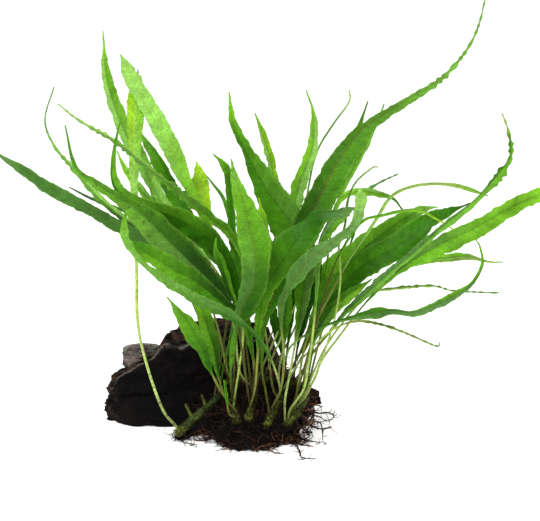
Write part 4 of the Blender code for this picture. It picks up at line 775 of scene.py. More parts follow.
@dataclass(frozen=True)
class LeafFinish:
    """Living fern leaf, a smooth waxy cuticle over netted veins.

    The cuticle gives a soft broad sheen, and the veins show as a fine darker net between
    slanting side veins. Light and dark patches and bands along the side veins are partly the
    leaf's own mottling and partly painted shade and highlight of the quilted blade. Colours
    come from the mesh, because they change along each frond.
    Widths and spacings are in millimetres.
    """

    slot: LeafSlot
    roughness: float
    vein_depth: float
    sheen: float
    side_vein_spacing: float = 5.2
    side_vein_slant: float = 0.75
    side_vein_bend: float = 1.6
    side_vein_edge: float = 0.11
    net_width: float = 1.7
    net_edge: float = 0.16
    net_strength: float = 0.55
    mottle_width: float = 6.0
    mottle_range: tuple = (0.82, 1.14)
    grain_width: float = 0.9
    grain_range: tuple = (0.76, 1.22)
    streak_width: float = 2.4
    streak_draw: float = 0.3
    streak_range: tuple = (0.83, 1.17)
    spot_spacing: float = 3.0
    spot_radius: tuple = (0.16, 0.26)
    fleck_width: float = 1.6
    fleck_range: tuple = (0.6, 0.68)
    relief_strength: float = 0.5
    relief_depth: float = 0.35

    def material(self) -> Material:
        """Builds the finish and gives its material."""
        leaf = Surface(f"fern_leaf_{self.slot.name.lower()}")
        colour = leaf.read("leaf_colour")
        place = leaf.read("leaf_place").outputs["Vector"]
        side, along, number = leaf.split(place)
        vein_share, spot_share, fleck_share = leaf.split(leaf.read("leaf_marks").outputs["Vector"])
        mottle = leaf.noise(place, self.mottle_width, 4.0, 0.6)

        beside = leaf.maths("ABSOLUTE", side)
        slanted = leaf.maths("MULTIPLY_ADD", beside, -self.side_vein_slant, along)
        bend = self.side_vein_bend * self.side_vein_spacing
        bent = leaf.maths("MULTIPLY_ADD", mottle, bend, slanted)
        turns = leaf.maths("MULTIPLY", bent, 1.0 / self.side_vein_spacing)
        to_vein = leaf.maths("PINGPONG", turns, 0.5)
        side_vein = leaf.ramp(to_vein, 0.0, self.side_vein_edge, 1.0, 0.0, "SMOOTHSTEP")
        to_edge = leaf.cells(place, self.net_width, "DISTANCE_TO_EDGE")
        net = leaf.ramp(to_edge, 0.0, self.net_edge, 1.0, 0.0, "SMOOTHSTEP")
        both = leaf.maths("MULTIPLY_ADD", net, self.net_strength, side_vein, clamp=True)
        veins = leaf.maths("MULTIPLY", both, vein_share)
        vein_shade = leaf.maths("MULTIPLY_ADD", veins, -self.vein_depth, 1.0)

        # Light and dark patches and bands along the side veins: partly the leaf's own mottling,
        # partly painted shade and highlight of the quilted blade.
        patch = leaf.ramp(mottle, 0.3, 0.7, *self.mottle_range)
        grain = leaf.noise(place, self.grain_width, 2.0, 0.7)
        grained = leaf.ramp(grain, 0.3, 0.7, *self.grain_range)
        tilted = add_node(leaf.tree, "ShaderNodeCombineXYZ", {0: slanted, 1: side, 2: number})
        drawn = add_node(leaf.tree, "ShaderNodeVectorMath",
                         {0: tilted.outputs[0], 1: (1.0, self.streak_draw, 1.0)},
                         operation="MULTIPLY")
        streak = leaf.noise(drawn.outputs[0], self.streak_width, 3.0, 0.6)
        streaked = leaf.ramp(streak, 0.3, 0.7, *self.streak_range)
        mottle_and_shading = leaf.maths("MULTIPLY", patch, leaf.maths("MULTIPLY", streaked, grained))
        toned = leaf.shaded(colour, leaf.maths("MULTIPLY", vein_shade, mottle_and_shading))

        dot = leaf.ramp(leaf.cells(place, self.spot_spacing, randomness=0.8),
                        *self.spot_radius, 1.0, 0.0)
        spotted = leaf.marked(leaf.maths("MULTIPLY", dot, spot_share, clamp=True), toned, Hue.FOOT)
        fleck = leaf.ramp(leaf.noise(place, self.fleck_width, 2.0), *self.fleck_range)
        flecks = leaf.maths("MULTIPLY", fleck, fleck_share, clamp=True)
        relief = leaf.maths("MULTIPLY_ADD", veins, -0.7, mottle)
        return leaf.finish(leaf.marked(flecks, spotted, Hue.FOOT), relief, self.relief_strength,
                           self.relief_depth,
                           {"Roughness": self.roughness, "Specular IOR Level": self.sheen,
                            "Subsurface Weight": 0.08, "Subsurface Radius": (0.6, 1.0, 0.25),
                            "Subsurface Scale": 1.2 * MM})


LEAF_FINISHES = (
    LeafFinish(LeafSlot.DARK, roughness=0.42, vein_depth=0.14, sheen=0.07),
    LeafFinish(LeafSlot.FRESH, roughness=0.45, vein_depth=0.12, sheen=0.07),
    LeafFinish(LeafSlot.PALE, roughness=0.5, vein_depth=0.12, sheen=0.1),
)

# Places round a ring, as shares of the half width: over the front from the right margin to
# the left one, and back behind.
HALF_RING = np.array((1.0, 0.92, 0.75, 0.5, 0.27, 0.1, 0.0, -0.1, -0.27, -0.5, -0.75, -0.92, -1.0))
RING = np.concatenate((HALF_RING, HALF_RING[-2:0:-1]))
FRONT = np.concatenate((np.ones(len(HALF_RING)), -np.ones(len(HALF_RING) - 2)))
CURVE = np.sqrt(np.maximum(1.0 - RING**2, 0.0))


@dataclass(frozen=True)
class Strip:
    """One frond, with values for each of its rings from the foot to the tip.

    number: the frond's number, which also seeds its small differences.
    shares, along: the ring's place as a share of the length, and in millimetres.
    turn: how far it is turned about the frond's own length, in radians.
    seen: its width as the eye sees it.
    flat, bladed, tail: how far it is flat, how far it is blade, and how far thin tail.
    """

    number: int
    frond: Frond
    shares: Array
    along: Array
    turn: Array
    seen: Array
    flat: Array
    bladed: Array
    tail: Array


@dataclass
class Fern:
    """All the fronds, each a fine closed mesh of a round stalk that opens into a blade."""

    station: float = 0.8
    line_steps: int = 16
    extra_foot: float = 2.6
    gap: float = 0.3
    edge_thickness: float = 0.10
    blade_thickness: float = 0.30
    fold: float = 0.10
    rib_height: float = 0.55
    rib_width: float = 0.75
    rib_line: float = 0.45
    tip_width: float = 1.2
    tail_slimming: float = 0.22
    stalk_slimming: float = 0.3
    bead_length: float = 5.0
    crimp: float = 0.6
    crimp_length: float = 3.6
    ruffle_length: float = 7.0
    ruffle_rise: float = 1.6
    tip_fullness: float = 0.35
    quilt: float = 0.22
    quilt_length: float = 3.2
    vein_slant: float = 0.75
    foot_stain_and_shade: float = 20.0
    brim_highlight: float = 0.22
    drift: float = 0.12
    drift_length: float = 14.0
    tangent_step: float = 0.01

    def foot(self, frond: Frond) -> Array:
        """Where a stalk leaves the sloping upper side of its rhizome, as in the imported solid."""
        step = self.tangent_step
        near = (frond.along - step, frond.along, frond.along + step)
        behind, place, ahead = along_line(rhizome_line(frond.rhizome), near)
        run = ahead - behind
        slope = abs(run[2]) / math.hypot(run[0], run[1])
        rise = RHIZOME_RADIUS * math.hypot(1.0, slope) + 0.5 * frond.blade[0][1] * slope + self.gap
        return place + (0.0, 0.0, rise)

    def line(self, frond: Frond) -> Array:
        """The centre line of a frond in space, from the foot to the tip."""
        foot = self.foot(frond)
        sheet = np.array(frond.route, float)
        runs = np.linalg.norm(np.diff(sheet, axis=0), axis=1)
        first = np.linalg.norm(sheet[0] - (foot[0], np.dot(foot, SHEET_UP)))
        shares = np.concatenate(((first,), first + np.cumsum(runs)))
        shares = shares / shares[-1]
        half_way, tip = frond.depths
        depths = ((1 - shares) ** 2 * np.dot(foot, SIGHT)
                  + 2 * shares * (1 - shares) * half_way + shares**2 * tip)
        points = [foot]
        for (across, up), depth in zip(frond.route, depths):
            points.append(sight_point(across, up, depth))
        return smooth_rows(np.array(points), self.line_steps)

    def strip(self, number: int, frond: Frond, length: float) -> Strip:
        """The values of the rings of a frond of this length."""
        shares = np.linspace(0.0, 1.0, max(int(length / self.station), 24))
        start, stalk_width = frond.blade[0]
        turn_middle, turn_tip = frond.turn
        turns = ((0.0, 0.0), (start, 0.5 * turn_middle), (0.5 + 0.5 * start, turn_middle),
                 (1.0, turn_tip))
        widths = ((0.0, stalk_width), *frond.blade, (1.0, self.tip_width))
        seen = smooth_values(widths, shares)
        return Strip(number, frond, shares, along=shares * length, seen=seen,
                     turn=np.radians(smooth_values(turns, shares)),
                     flat=np.clip((seen - stalk_width) / stalk_width, 0.0, 1.0),
                     bladed=soft_step(start - 0.03, start + 0.06, shares),
                     tail=soft_step(0.55, 0.8, shares) * (1.0 - soft_step(1.6, 4.0, seen)))

    def half_widths(self, strip: Strip) -> Array:
        """Half the true width of each ring, with slim stalks, beaded tails and full tips."""
        look, shares, along = strip.frond.look, strip.shares, strip.along
        half_width = 0.5 * strip.seen * (1.0 + strip.flat * (1.0 / np.cos(strip.turn) - 1.0))
        half_width *= 1.0 - self.tail_slimming * strip.tail
        if look.beads < 1.0:
            beaded = soft_step(look.beads, look.beads + 0.06, shares)
            beat = along * (2.0 * math.pi / self.bead_length)
            wave = np.sin(beat + 1.7 * np.sin(along * 0.37 + strip.number))
            half_width *= 1.0 + (0.25 + 0.35 * strip.tail) * beaded * wave
        half_width *= 1.0 - self.stalk_slimming * (1.0 - strip.flat)
        return half_width + self.tip_fullness * soft_step(0.75, 0.9, shares) * (
            1.0 - soft_step(0.985, 1.0, shares)) * np.minimum(strip.seen / 3.0, 1.0)

    def sides(self, strip: Strip, half_width: Array, reach: Array) -> Array:
        """How far right of the midrib each point lies, with crimped margins.

        Args:
            strip: The frond's rings.
            half_width: Half their true width.
            reach: How strongly each ring waves, from 0 where it is thin to 1.

        Returns:
            Distances as (ring, point).
        """
        edges = points_of(strip.along[:, None] / self.crimp_length, 7.3 * np.sign(RING),
                          float(strip.number))
        lobes = rough_noise(edges, 3, 2) + 0.55 * rough_noise(2.7 * edges, 4, 2)
        crimp = self.crimp * (lobes - 0.2) * reach * strip.bladed[:, None]
        side = RING * (half_width[:, None] + crimp * RING**2)
        if strip.frond.look.margins:
            keys = np.array(((0.0, 0.0, 0.0), *strip.frond.look.margins, (1.0, 0.0, 0.0)))
            left, right = (smooth_values(keys[:, (0, column)], strip.shares)[:, None]
                           for column in (1, 2))
            side += np.where(RING < 0.0, left, right) * RING * np.abs(RING)
        return side

    def rises(self, strip: Strip, side: Array, reach: Array) -> Array:
        """How high each point stands over the frond's middle sheet.

        Args:
            strip: The frond's rings.
            side: How far right of the midrib each point lies.
            reach: How strongly each ring waves.

        Returns:
            Heights as (ring, point): a round stalk that becomes a folded, quilted blade.
        """
        slant = strip.along[:, None] - self.vein_slant * np.abs(side)
        puffs = points_of(slant / self.quilt_length, side / (3.0 * self.quilt_length),
                          float(strip.number))
        puff = self.quilt * rough_noise(puffs, 18, 2) * (1.0 - RING**4) * np.minimum(
            np.abs(side) / 1.5, 1.0) * reach
        rib = self.rib_height * np.exp(-((side / self.rib_width) ** 2)) * (
            1.0 - 0.7 * strip.shares[:, None])
        skin = mix(self.edge_thickness, self.blade_thickness, CURVE)
        blade = (FRONT * skin * (CURVE > 0.0) + self.fold * np.abs(side) + puff
                 - np.where(FRONT < 0.0, rib, -0.25 * rib) * CURVE)
        slim = (1.0 - self.tail_slimming * strip.tail) * (
            1.0 - self.stalk_slimming * (1.0 - strip.flat))
        stalk_half = 0.5 * np.minimum(strip.frond.blade[0][1], strip.seen) * slim
        return mix(stalk_half[:, None] * CURVE * FRONT, blade, strip.flat[:, None])

    def mesh(self, number: int, frond: Frond) -> Mesh:
        """The mesh of a frond, with its colours and the places that its patterns follow.

        Args:
            number: The frond's number.
            frond: The frond.

        Returns:
            The mesh.
        """
        line = self.line(frond)
        strip = self.strip(number, frond, line_length(line))
        look, along, bladed = frond.look, strip.along[:, None], strip.bladed[:, None]
        centres = along_line(line, strip.shares)
        ahead = along_line(line, np.minimum(strip.shares + self.tangent_step, 1.0))
        behind = along_line(line, np.maximum(strip.shares - self.tangent_step, 0.0))
        tangents = unit(ahead - behind)
        across = unit(np.cross(SIGHT, tangents))
        facing = np.cross(across, tangents)
        cosine, sine = np.cos(strip.turn)[:, None], np.sin(strip.turn)[:, None]
        sideways = cosine * across + sine * facing
        outward = cosine * facing - sine * across

        half_width = self.half_widths(strip)
        reach = np.minimum(half_width / 3.0, 1.0)[:, None]
        side = self.sides(strip, half_width, reach)
        rise = self.rises(strip, side, reach)
        waves = points_of(along / self.ruffle_length, 3.1 * np.sign(RING), number + 40.0)
        ruffle = self.ruffle_rise * look.ruffle * rough_noise(waves, 8, 2) * RING**2 * reach
        grid = (centres[:, None] + side[..., None] * sideways[:, None]
                + rise[..., None] * outward[:, None]
                + (strip.flat[:, None] * ruffle)[..., None] * facing[:, None])
        grid = np.concatenate((grid[:1] - (0.0, 0.0, self.extra_foot), grid))

        mesh = closed_mesh(f"fern_frond_{number:02d}", grid)
        flecks = 0.85 * (1.0 - soft_step(12.0, 60.0, along)) + 0.0 * side
        marks = points_of(look.veins * bladed, look.spots * bladed, flecks)
        places = points_of(side, along, 11.0 * number)
        for name, values in (("leaf_colour", self.colours(strip, side)), ("leaf_marks", marks),
                             ("leaf_place", places)):
            store(mesh, name, with_ends(np.concatenate((values[:1], values))))
        return mesh

    def colours(self, strip: Strip, side: Array) -> Array:
        """Colours of a frond's points.

        Args:
            strip: The frond's rings.
            side: How far right of the midrib each point lies.

        Returns:
            Linear colours as (ring, point, rgb).
        """
        look = strip.frond.look
        start = strip.frond.blade[0][0]
        rest = 1.0 - start
        # Low hues darker than the high ones stand in places for painted shade on lower blades under
        # others.
        high = soft_step(start + 0.2 * rest, start + 0.85 * rest, strip.shares)[:, None, None]
        at_tip = soft_step(look.tip_from, 1.0, strip.shares)[:, None, None]
        left, right = (mix(mix(low.linear, upper.linear, high), look.tip.linear, at_tip)
                       for low, upper in (look.left, look.right))
        blade = mix(left, right, soft_step(-0.35, 0.35, side)[..., None])
        on_rib = (look.rib_show * np.exp(-((side / self.rib_line) ** 2)))[..., None]
        blade = mix(blade, look.rib.linear, on_rib * (1.0 - 0.8 * at_tip))
        blade = np.where((FRONT < 0.0)[:, None], mix(blade, Hue.SOFT.linear, 0.4), blade)
        # Lighter margins: a painted highlight along the blade's edges.
        brim = (self.brim_highlight * soft_step(0.8, 1.0, np.abs(RING)))[:, None]
        blade = mix(blade, Hue.BRIM.linear, brim)
        # Stalks turn brown towards the foot: partly their own colour, partly painted shade low
        # among the stalks.
        foot = 0.6 * (1.0 - soft_step(1.0, self.foot_stain_and_shade, strip.along))[:, None, None]
        stalk = mix(look.stalk.linear, Hue.FOOT.linear, foot)
        drifting = points_of(strip.along / self.drift_length, 5.0 * strip.number, 0.0)
        tone = (1.0 + self.drift * rough_noise(drifting, 21, 2))[:, None, None]
        return mix(stalk, blade, strip.bladed[:, None, None]) * tone

    def build(self) -> None:
        """Makes every frond and dresses it."""
        finishes = {finish.slot: finish.material() for finish in LEAF_FINISHES}
        for number, frond in enumerate((*FRONDS, *HIDDEN_FRONDS), 1):
            nodes = (f"frond_{number:02d}",) if number <= len(FRONDS) else ()
            place_piece(self.mesh(number, frond), finishes[frond.slot], frond.slot.value, *nodes)


# ---------------------------------------------------------------- driftwood

# Sections across the log, each as x and the (y, z) of the front foot, the front rim, the
# crest, the back shoulder and the back foot.
LOG_SECTIONS = (
    (-76, (39, 6), (39, 12), (44, 16), (51, 12), (51, 6)),
    (-73.5, (34, 2), (34, 17), (43, 21), (55, 16), (55, 2)),
    (-68, (31, 0), (31, 24), (43, 24), (61, 20), (61, 0)),
    (-60, (30, 0), (31, 29), (40, 26), (64, 23), (65, 0)),
    (-51, (29, 0), (32, 33), (41, 30), (67, 27), (68, 0)),
    (-44, (29, 0), (33, 36), (43, 36), (69, 33), (70, 0)),
    (-36, (30, 0), (35, 38.5), (57, 44), (71, 37), (71, 0)),
    (-27, (31, 0), (38, 41), (59, 47), (72, 37), (73, 0)),
    (-15, (33, 0), (41, 42), (59, 48), (73, 36), (73, 0)),
    (-3, (35, 0), (43, 41), (58, 47), (72, 34), (72, 0)),
    (8, (36, 0), (44, 38), (57, 44), (70, 30), (70, 0)),
    (15, (37, 0), (42, 24), (54, 29), (66, 22), (66, 0)),
    (22, (38, 1), (40, 15), (49, 19), (60, 14), (60, 1)),
    (29, (40, 5), (40, 12), (46, 16.5), (52, 12), (52, 5)),
    (36, (42, 7.5), (42, 11), (46, 14), (50, 11), (50, 7.5)),
)

# Knob, a short branch stub behind the rim: sections along its axis as centre (x, y, z) and
# half sizes across and up.
KNOB_SECTIONS = (
    ((-46, 49, 33), 4.0, 4.0),
    ((-49, 48.5, 32.5), 8.0, 6.0),
    ((-55, 47.5, 32), 9.0, 6.6),
    ((-62, 46.5, 31), 8.5, 6.8),
    ((-66.5, 46, 30.5), 6.5, 5.2),
)


@dataclass(frozen=True)
class WoodFinish:
    """Waterlogged driftwood, dark and fibrous.

    The long fibres give fine ridges that catch the light on the rim, and the soft wood
    between them stays dull and nearly black. Colours come from the mesh, because the front
    is charred dark and the rim carries a painted highlight. Widths are in millimetres.
    """

    name: str = "weathered_driftwood"
    roughness: float = 0.86
    sheen: float = 0.12
    fibre_width: float = 0.7
    fibre_stretch: float = 0.08
    fibre_range: tuple = (0.25, 1.9)
    blotch_width: float = 4.0
    blotch_range: tuple = (0.7, 1.25)
    relief_strength: float = 0.8
    relief_depth: float = 1.2

    def material(self) -> Material:
        """Builds the finish and gives its material."""
        wood = Surface(self.name)
        place = wood.place()
        along = add_node(wood.tree, "ShaderNodeMapping",
                         {"Vector": place, "Scale": (self.fibre_stretch / MM, 1.0 / MM, 1.0 / MM)})
        fibre = wood.noise(along.outputs[0], self.fibre_width, 5.0, 0.65)
        blotch = wood.noise(place, self.blotch_width * MM, 4.0)
        tone = wood.ramp(fibre, 0.36, 0.64, *self.fibre_range)
        cloud = wood.ramp(blotch, 0.3, 0.7, *self.blotch_range)
        toned = wood.shaded(wood.read("wood_colour"), wood.maths("MULTIPLY", tone, cloud))
        return wood.finish(toned, wood.maths("MULTIPLY", fibre, blotch), self.relief_strength,
                           self.relief_depth,
                           {"Roughness": self.roughness, "Specular IOR Level": self.sheen})


@dataclass
class Driftwood:
    """The log and its knob. Sizes of grain, lumps and cracks are in millimetres."""

    steps_along: int = 14
    side_counts: tuple = (46, 50, 40, 34, 30)
    round_over: int = 3
    foot_swell: float = 7.0
    crest_swell: float = 6.5
    crest_place: float = -44.5
    grain_size: tuple = (26.0, 3.4, 3.4)
    lump_size: tuple = (9.0, 7.0, 7.0)
    crack_size: tuple = (34.0, 7.0, 7.0)
    chip_size: tuple = (7.0, 7.0, 3.2)
    layer_size: tuple = (60.0, 6.0, 3.4)
    worn_size: tuple = (60.0, 5.0, 4.0)
    hollow_highlight_size: tuple = (7.0, 2.2, 2.2)
    knob_steps: int = 12
    knob_points: int = 120

    def log_grid(self) -> Array:
        """Rings of the smooth log, its sections joined finely and its corners rounded over."""
        sections = [[(section[0], *corner) for corner in section[1:]] for section in LOG_SECTIONS]
        rows = smooth_rows(np.array(sections, float), self.steps_along)
        sides = []
        for corner, count in enumerate(self.side_counts):
            here, there = rows[:, corner], rows[:, (corner + 1) % len(self.side_counts)]
            t = np.linspace(0.0, 1.0, count, endpoint=False)[None, :, None]
            sides.append(mix(here[:, None], there[:, None], t))
        grid = np.concatenate(sides, axis=1)
        for _ in range(self.round_over):
            grid = 0.25 * np.roll(grid, 1, axis=1) + 0.5 * grid + 0.25 * np.roll(grid, -1, axis=1)
        return grid

    def log_mesh(self) -> Mesh:
        """The log with its grain, cracks, broken left end and worn right end, and its colours."""
        grid = self.log_grid()
        from_middle = grid - grid.mean(axis=1, keepdims=True)
        thick = np.minimum(np.linalg.norm(from_middle, axis=-1) / 10.0, 1.0)
        grain = ridged_noise(grid / self.grain_size, 5, 4) - 1.0
        lumps = rough_noise(grid / self.lump_size, 9, 4)
        cracks = np.clip(ridged_noise(grid / self.crack_size, 15, 2) - 1.28, 0.0, 1.0)
        torn = 1.0 - soft_step(-78.0, -64.0, grid[..., 0])
        chips = ridged_noise(grid / self.chip_size, 21, 3) - 1.0
        push = thick * (1.7 * grain + 1.3 * lumps - 5.5 * cracks + 1.8 * torn * chips - 0.4)
        grid = grid + unit(from_middle) * push[..., None]
        x, y, z = np.moveaxis(grid, -1, 0)
        x += torn * (4.4 * (ridged_noise(grid / self.layer_size, 25, 3) - 1.0) + 1.0)
        low = (1.0 - soft_step(0.0, 18.0, z)) * (1.0 - soft_step(36.0, 46.0, y))
        y -= self.foot_swell * low * soft_step(-72.0, -58.0, x)
        lump = np.exp(-(((x - self.crest_place) / 5.5) ** 2)) * soft_step(24.0, 38.0, z)
        z += self.crest_swell * lump
        worn = soft_step(24.0, 34.0, x)
        x += 3.0 * worn * (ridged_noise(grid / self.worn_size, 27, 3) - 1.4)
        z -= 1.5 * worn * soft_step(8.0, 14.0, z)
        grid[..., 2] = np.maximum(z, 0.0)
        mesh = closed_mesh("driftwood_log", grid)
        store(mesh, "wood_colour", with_ends(self.log_colours(grid, grain, torn)))
        return mesh

    def log_colours(self, grid: Array, grain: Array, torn: Array) -> Array:
        """Colours of the log: black front, painted highlight along the rim, red-brown hollow with
        painted highlight flecks, dull brown back.

        Args:
            grid: The log's points.
            grain: Height of its grain.
            torn: How much each point belongs to the broken left end.

        Returns:
            Linear colours.
        """
        place = np.arange(grid.shape[1], dtype=float)
        rim, crest, shoulder = np.cumsum(self.side_counts[:3]).astype(float)
        wander = 2.0 * rough_noise(grid / (9.0, 30.0, 30.0), 33, 4)
        # Painted highlight: a thin broken pale line along the front rim, and a fainter second line
        # above it.
        rim_highlight = np.exp(-(((place - rim + wander) / 1.3) ** 2))
        rim_highlight *= 0.25 + 0.75 * soft_step(-0.4, 0.5, rough_noise(grid / 4.0, 37, 3))
        second = 0.6 * np.exp(-(((place - rim - 13.0 + 3.0 * wander) / 1.6) ** 2))
        rim_highlight = np.maximum(rim_highlight, second * soft_step(0.0, 0.6, rough_noise(grid / 5.0, 39, 3)))
        patch = soft_step(-0.1, 1.0, rough_noise(grid / 6.0, 41, 4) + 0.6 * grain)
        hollow = soft_step(rim + 5.0, rim + 16.0, place) * (
            1.0 - soft_step(crest - 4.0, crest + 8.0, place))
        behind = soft_step(crest, shoulder, place)
        # Grey flecks in the hollow: painted highlights on its rugged wood.
        hollow_highlight = soft_step(1.25, 1.6, ridged_noise(grid / self.hollow_highlight_size, 43, 3))
        on_crest = 0.5 * np.exp(-(((place - crest + 0.5 * wander) / 3.0) ** 2)) * patch
        colours = mix(Hue.CHAR.linear, Hue.BARK.linear, 0.5 * patch[..., None])
        for share, hue in ((hollow * 0.7 * patch, Hue.RUST), (behind * 0.5 * patch, Hue.DRIFT),
                           (torn * 0.55 * soft_step(0.2, 1.0, grain), Hue.DRIFT),
                           (0.7 * hollow * hollow_highlight, Hue.DRIFT),
                           (on_crest, Hue.DRIFT), (0.7 * rim_highlight, Hue.BLEACHED)):
            colours = mix(colours, hue.linear, np.clip(share, 0.0, 1.0)[..., None])
        return colours

    def knob_mesh(self) -> Mesh:
        """The knob, a grey stub with a ragged end and a greenish patch, and its colours."""
        sections = np.array([(*middle, *sizes) for middle, *sizes in KNOB_SECTIONS], float)
        rows = smooth_rows(sections, self.knob_steps)
        turn = np.linspace(0.0, 2.0 * math.pi, self.knob_points, endpoint=False)
        grid = points_of(rows[:, :1], rows[:, 1:2] + rows[:, 3:4] * np.cos(turn),
                         rows[:, 2:3] + rows[:, 4:5] * np.sin(turn))
        grain = ridged_noise(grid / (16.0, 2.6, 2.6), 55, 4) - 1.0
        lumps = rough_noise(grid / 6.0, 57, 3)
        worn = 1.6 + 1.6 * soft_step(-58.0, -46.0, grid[..., 0])
        grid = grid + unit(grid - rows[:, None, :3]) * (0.9 * grain + 1.0 * lumps - worn)[..., None]
        end = 1.0 - soft_step(-68.0, -60.0, grid[..., 0])
        grid[..., 0] += 2.2 * end * (ridged_noise(grid / 3.0, 59, 3) - 1.0)
        mesh = closed_mesh("driftwood_stub", grid)
        colours = mix(Hue.DRIFT.linear, Hue.BLEACHED.linear, soft_step(-0.3, 0.7, lumps)[..., None])
        green = 0.8 * soft_step(0.0, 0.8, rough_noise(grid / 5.0, 61, 2))[..., None]
        colours = mix(colours, Hue.SLATE.linear, green)
        dark = 0.6 * soft_step(0.1, 0.8, -grain)[..., None]
        store(mesh, "wood_colour", with_ends(colours * (1.0 - dark)))
        return mesh

    def build(self) -> None:
        """Makes the driftwood and dresses it."""
        finish = WoodFinish().material()
        place_piece(self.log_mesh(), finish, "driftwood", "driftwood_trunk")
        place_piece(self.knob_mesh(), finish, "driftwood", "driftwood_knob")


# ---------------------------------------------------------------- geometry node growth


def new_growth(name: str, sockets: dict[str, tuple[str, object]]) -> tuple:
    """An empty Geometry Nodes tree with named inputs.

    Args:
        name: The tree's name.
        sockets: Input name to its socket type and default value.

    Returns:
        The tree, its input node and its output node.
    """
    tree = bpy.data.node_groups.new(name, "GeometryNodeTree")
    tree.interface.new_socket("Geometry", in_out="INPUT", socket_type="NodeSocketGeometry")
    for label, (kind, value) in sockets.items():
        socket = tree.interface.new_socket(label, in_out="INPUT", socket_type=kind)
        if value is not None:
            socket.default_value = value
    tree.interface.new_socket("Geometry", in_out="OUTPUT", socket_type="NodeSocketGeometry")
    return tree, tree.nodes.new("NodeGroupInput"), tree.nodes.new("NodeGroupOutput")


def grown_mesh(name: str, source: Mesh, tree: NodeTree, values: dict[str, object]) -> Mesh:
    """Runs a growth tree on a mesh and keeps the result as a plain mesh.

    Args:
        name: Name of the new mesh.
        source: What it grows from.
        tree: The growth tree.
        values: Input name to value.

    Returns:
        The grown mesh.
    """
    host = add_object(name, source)
    modifier = host.modifiers.new("growth", "NODES")
    modifier.node_group = tree
    for item in tree.interface.items_tree:
        if item.item_type == "SOCKET" and item.in_out == "INPUT" and item.name in values:
            modifier[item.identifier] = values[item.name]
    graph = bpy.context.evaluated_depsgraph_get()
    mesh = bpy.data.meshes.new_from_object(host.evaluated_get(graph))
    host.modifiers.remove(modifier)
    bpy.data.objects.remove(host)
    mesh.name = name
    return mesh


def end_growth(tree: NodeTree, given: Node, result: Node, grown: NodeSocket) -> NodeTree:
    """Ends a growth tree: what has grown is made real and given the material."""
    whole = add_node(tree, "GeometryNodeRealizeInstances", {"Geometry": grown})
    dressed = add_node(tree, "GeometryNodeSetMaterial",
                       {"Geometry": whole.outputs[0], "Material": given.outputs["Material"]})
    tree.links.new(dressed.outputs[0], result.inputs[0])
    return tree


def tube_growth() -> NodeTree:
    """A growth tree that turns lines into tubes as thick as their root_radius says."""
    tree, given, result = new_growth("line_to_root", {
        "Sides": ("NodeSocketInt", 5), "Material": ("NodeSocketMaterial", None)})
    lines = add_node(tree, "GeometryNodeMeshToCurve", {"Mesh": given.outputs["Geometry"]})
    profile = add_node(tree, "GeometryNodeCurvePrimitiveCircle",
                       {"Resolution": given.outputs["Sides"], "Radius": 1.0})
    radius = add_node(tree, "GeometryNodeInputNamedAttribute", {"Name": "root_radius"},
                      data_type="FLOAT")
    tubes = add_node(tree, "GeometryNodeCurveToMesh",
                     {"Curve": lines.outputs[0], "Profile Curve": profile.outputs[0],
                      "Scale": radius.outputs[0], "Fill Caps": True})
    smooth = add_node(tree, "GeometryNodeSetShadeSmooth", {"Geometry": tubes.outputs[0]})
    return end_growth(tree, given, result, smooth.outputs[0])


def scatter_growth() -> NodeTree:
    """A growth tree that scatters small pieces over a surface, upright and turned at random."""
    tree, given, result = new_growth("scatter", {
        "Piece": ("NodeSocketObject", None), "Spacing": ("NodeSocketFloat", 0.001),
        "Density": ("NodeSocketFloat", 1000000.0), "Lean": ("NodeSocketFloat", 0.6),
        "Smallest": ("NodeSocketFloat", 0.6), "Largest": ("NodeSocketFloat", 1.2),
        "Seed": ("NodeSocketInt", 1), "Material": ("NodeSocketMaterial", None)})
    points = add_node(tree, "GeometryNodeDistributePointsOnFaces",
                      {"Mesh": given.outputs["Geometry"],
                       "Distance Min": given.outputs["Spacing"],
                       "Density Max": given.outputs["Density"],
                       "Seed": given.outputs["Seed"]}, distribute_method="POISSON")
    lean = add_node(tree, "FunctionNodeRandomValue",
                    {"Seed": given.outputs["Seed"]}, data_type="FLOAT_VECTOR")
    less = add_node(tree, "ShaderNodeMath", {0: given.outputs["Lean"], 1: -1.0},
                    operation="MULTIPLY")
    low = add_node(tree, "ShaderNodeCombineXYZ",
                   {"X": less.outputs[0], "Y": less.outputs[0], "Z": -math.pi})
    high = add_node(tree, "ShaderNodeCombineXYZ",
                    {"X": given.outputs["Lean"], "Y": given.outputs["Lean"], "Z": math.pi})
    tree.links.new(low.outputs[0], lean.inputs[0])
    tree.links.new(high.outputs[0], lean.inputs[1])
    turned = add_node(tree, "FunctionNodeRotateRotation",
                      {"Rotation": points.outputs["Rotation"], "Rotate By": lean.outputs[0]},
                      rotation_space="LOCAL")
    size = add_node(tree, "FunctionNodeRandomValue",
                    {2: given.outputs["Smallest"], 3: given.outputs["Largest"],
                     "Seed": given.outputs["Seed"]}, data_type="FLOAT")
    piece = add_node(tree, "GeometryNodeObjectInfo", {"Object": given.outputs["Piece"]})
    placed = add_node(tree, "GeometryNodeInstanceOnPoints",
                      {"Points": points.outputs["Points"], "Instance": piece.outputs["Geometry"],
                       "Rotation": turned.outputs[0], "Scale": size.outputs[1]})
    return end_growth(tree, given, result, placed.outputs[0])


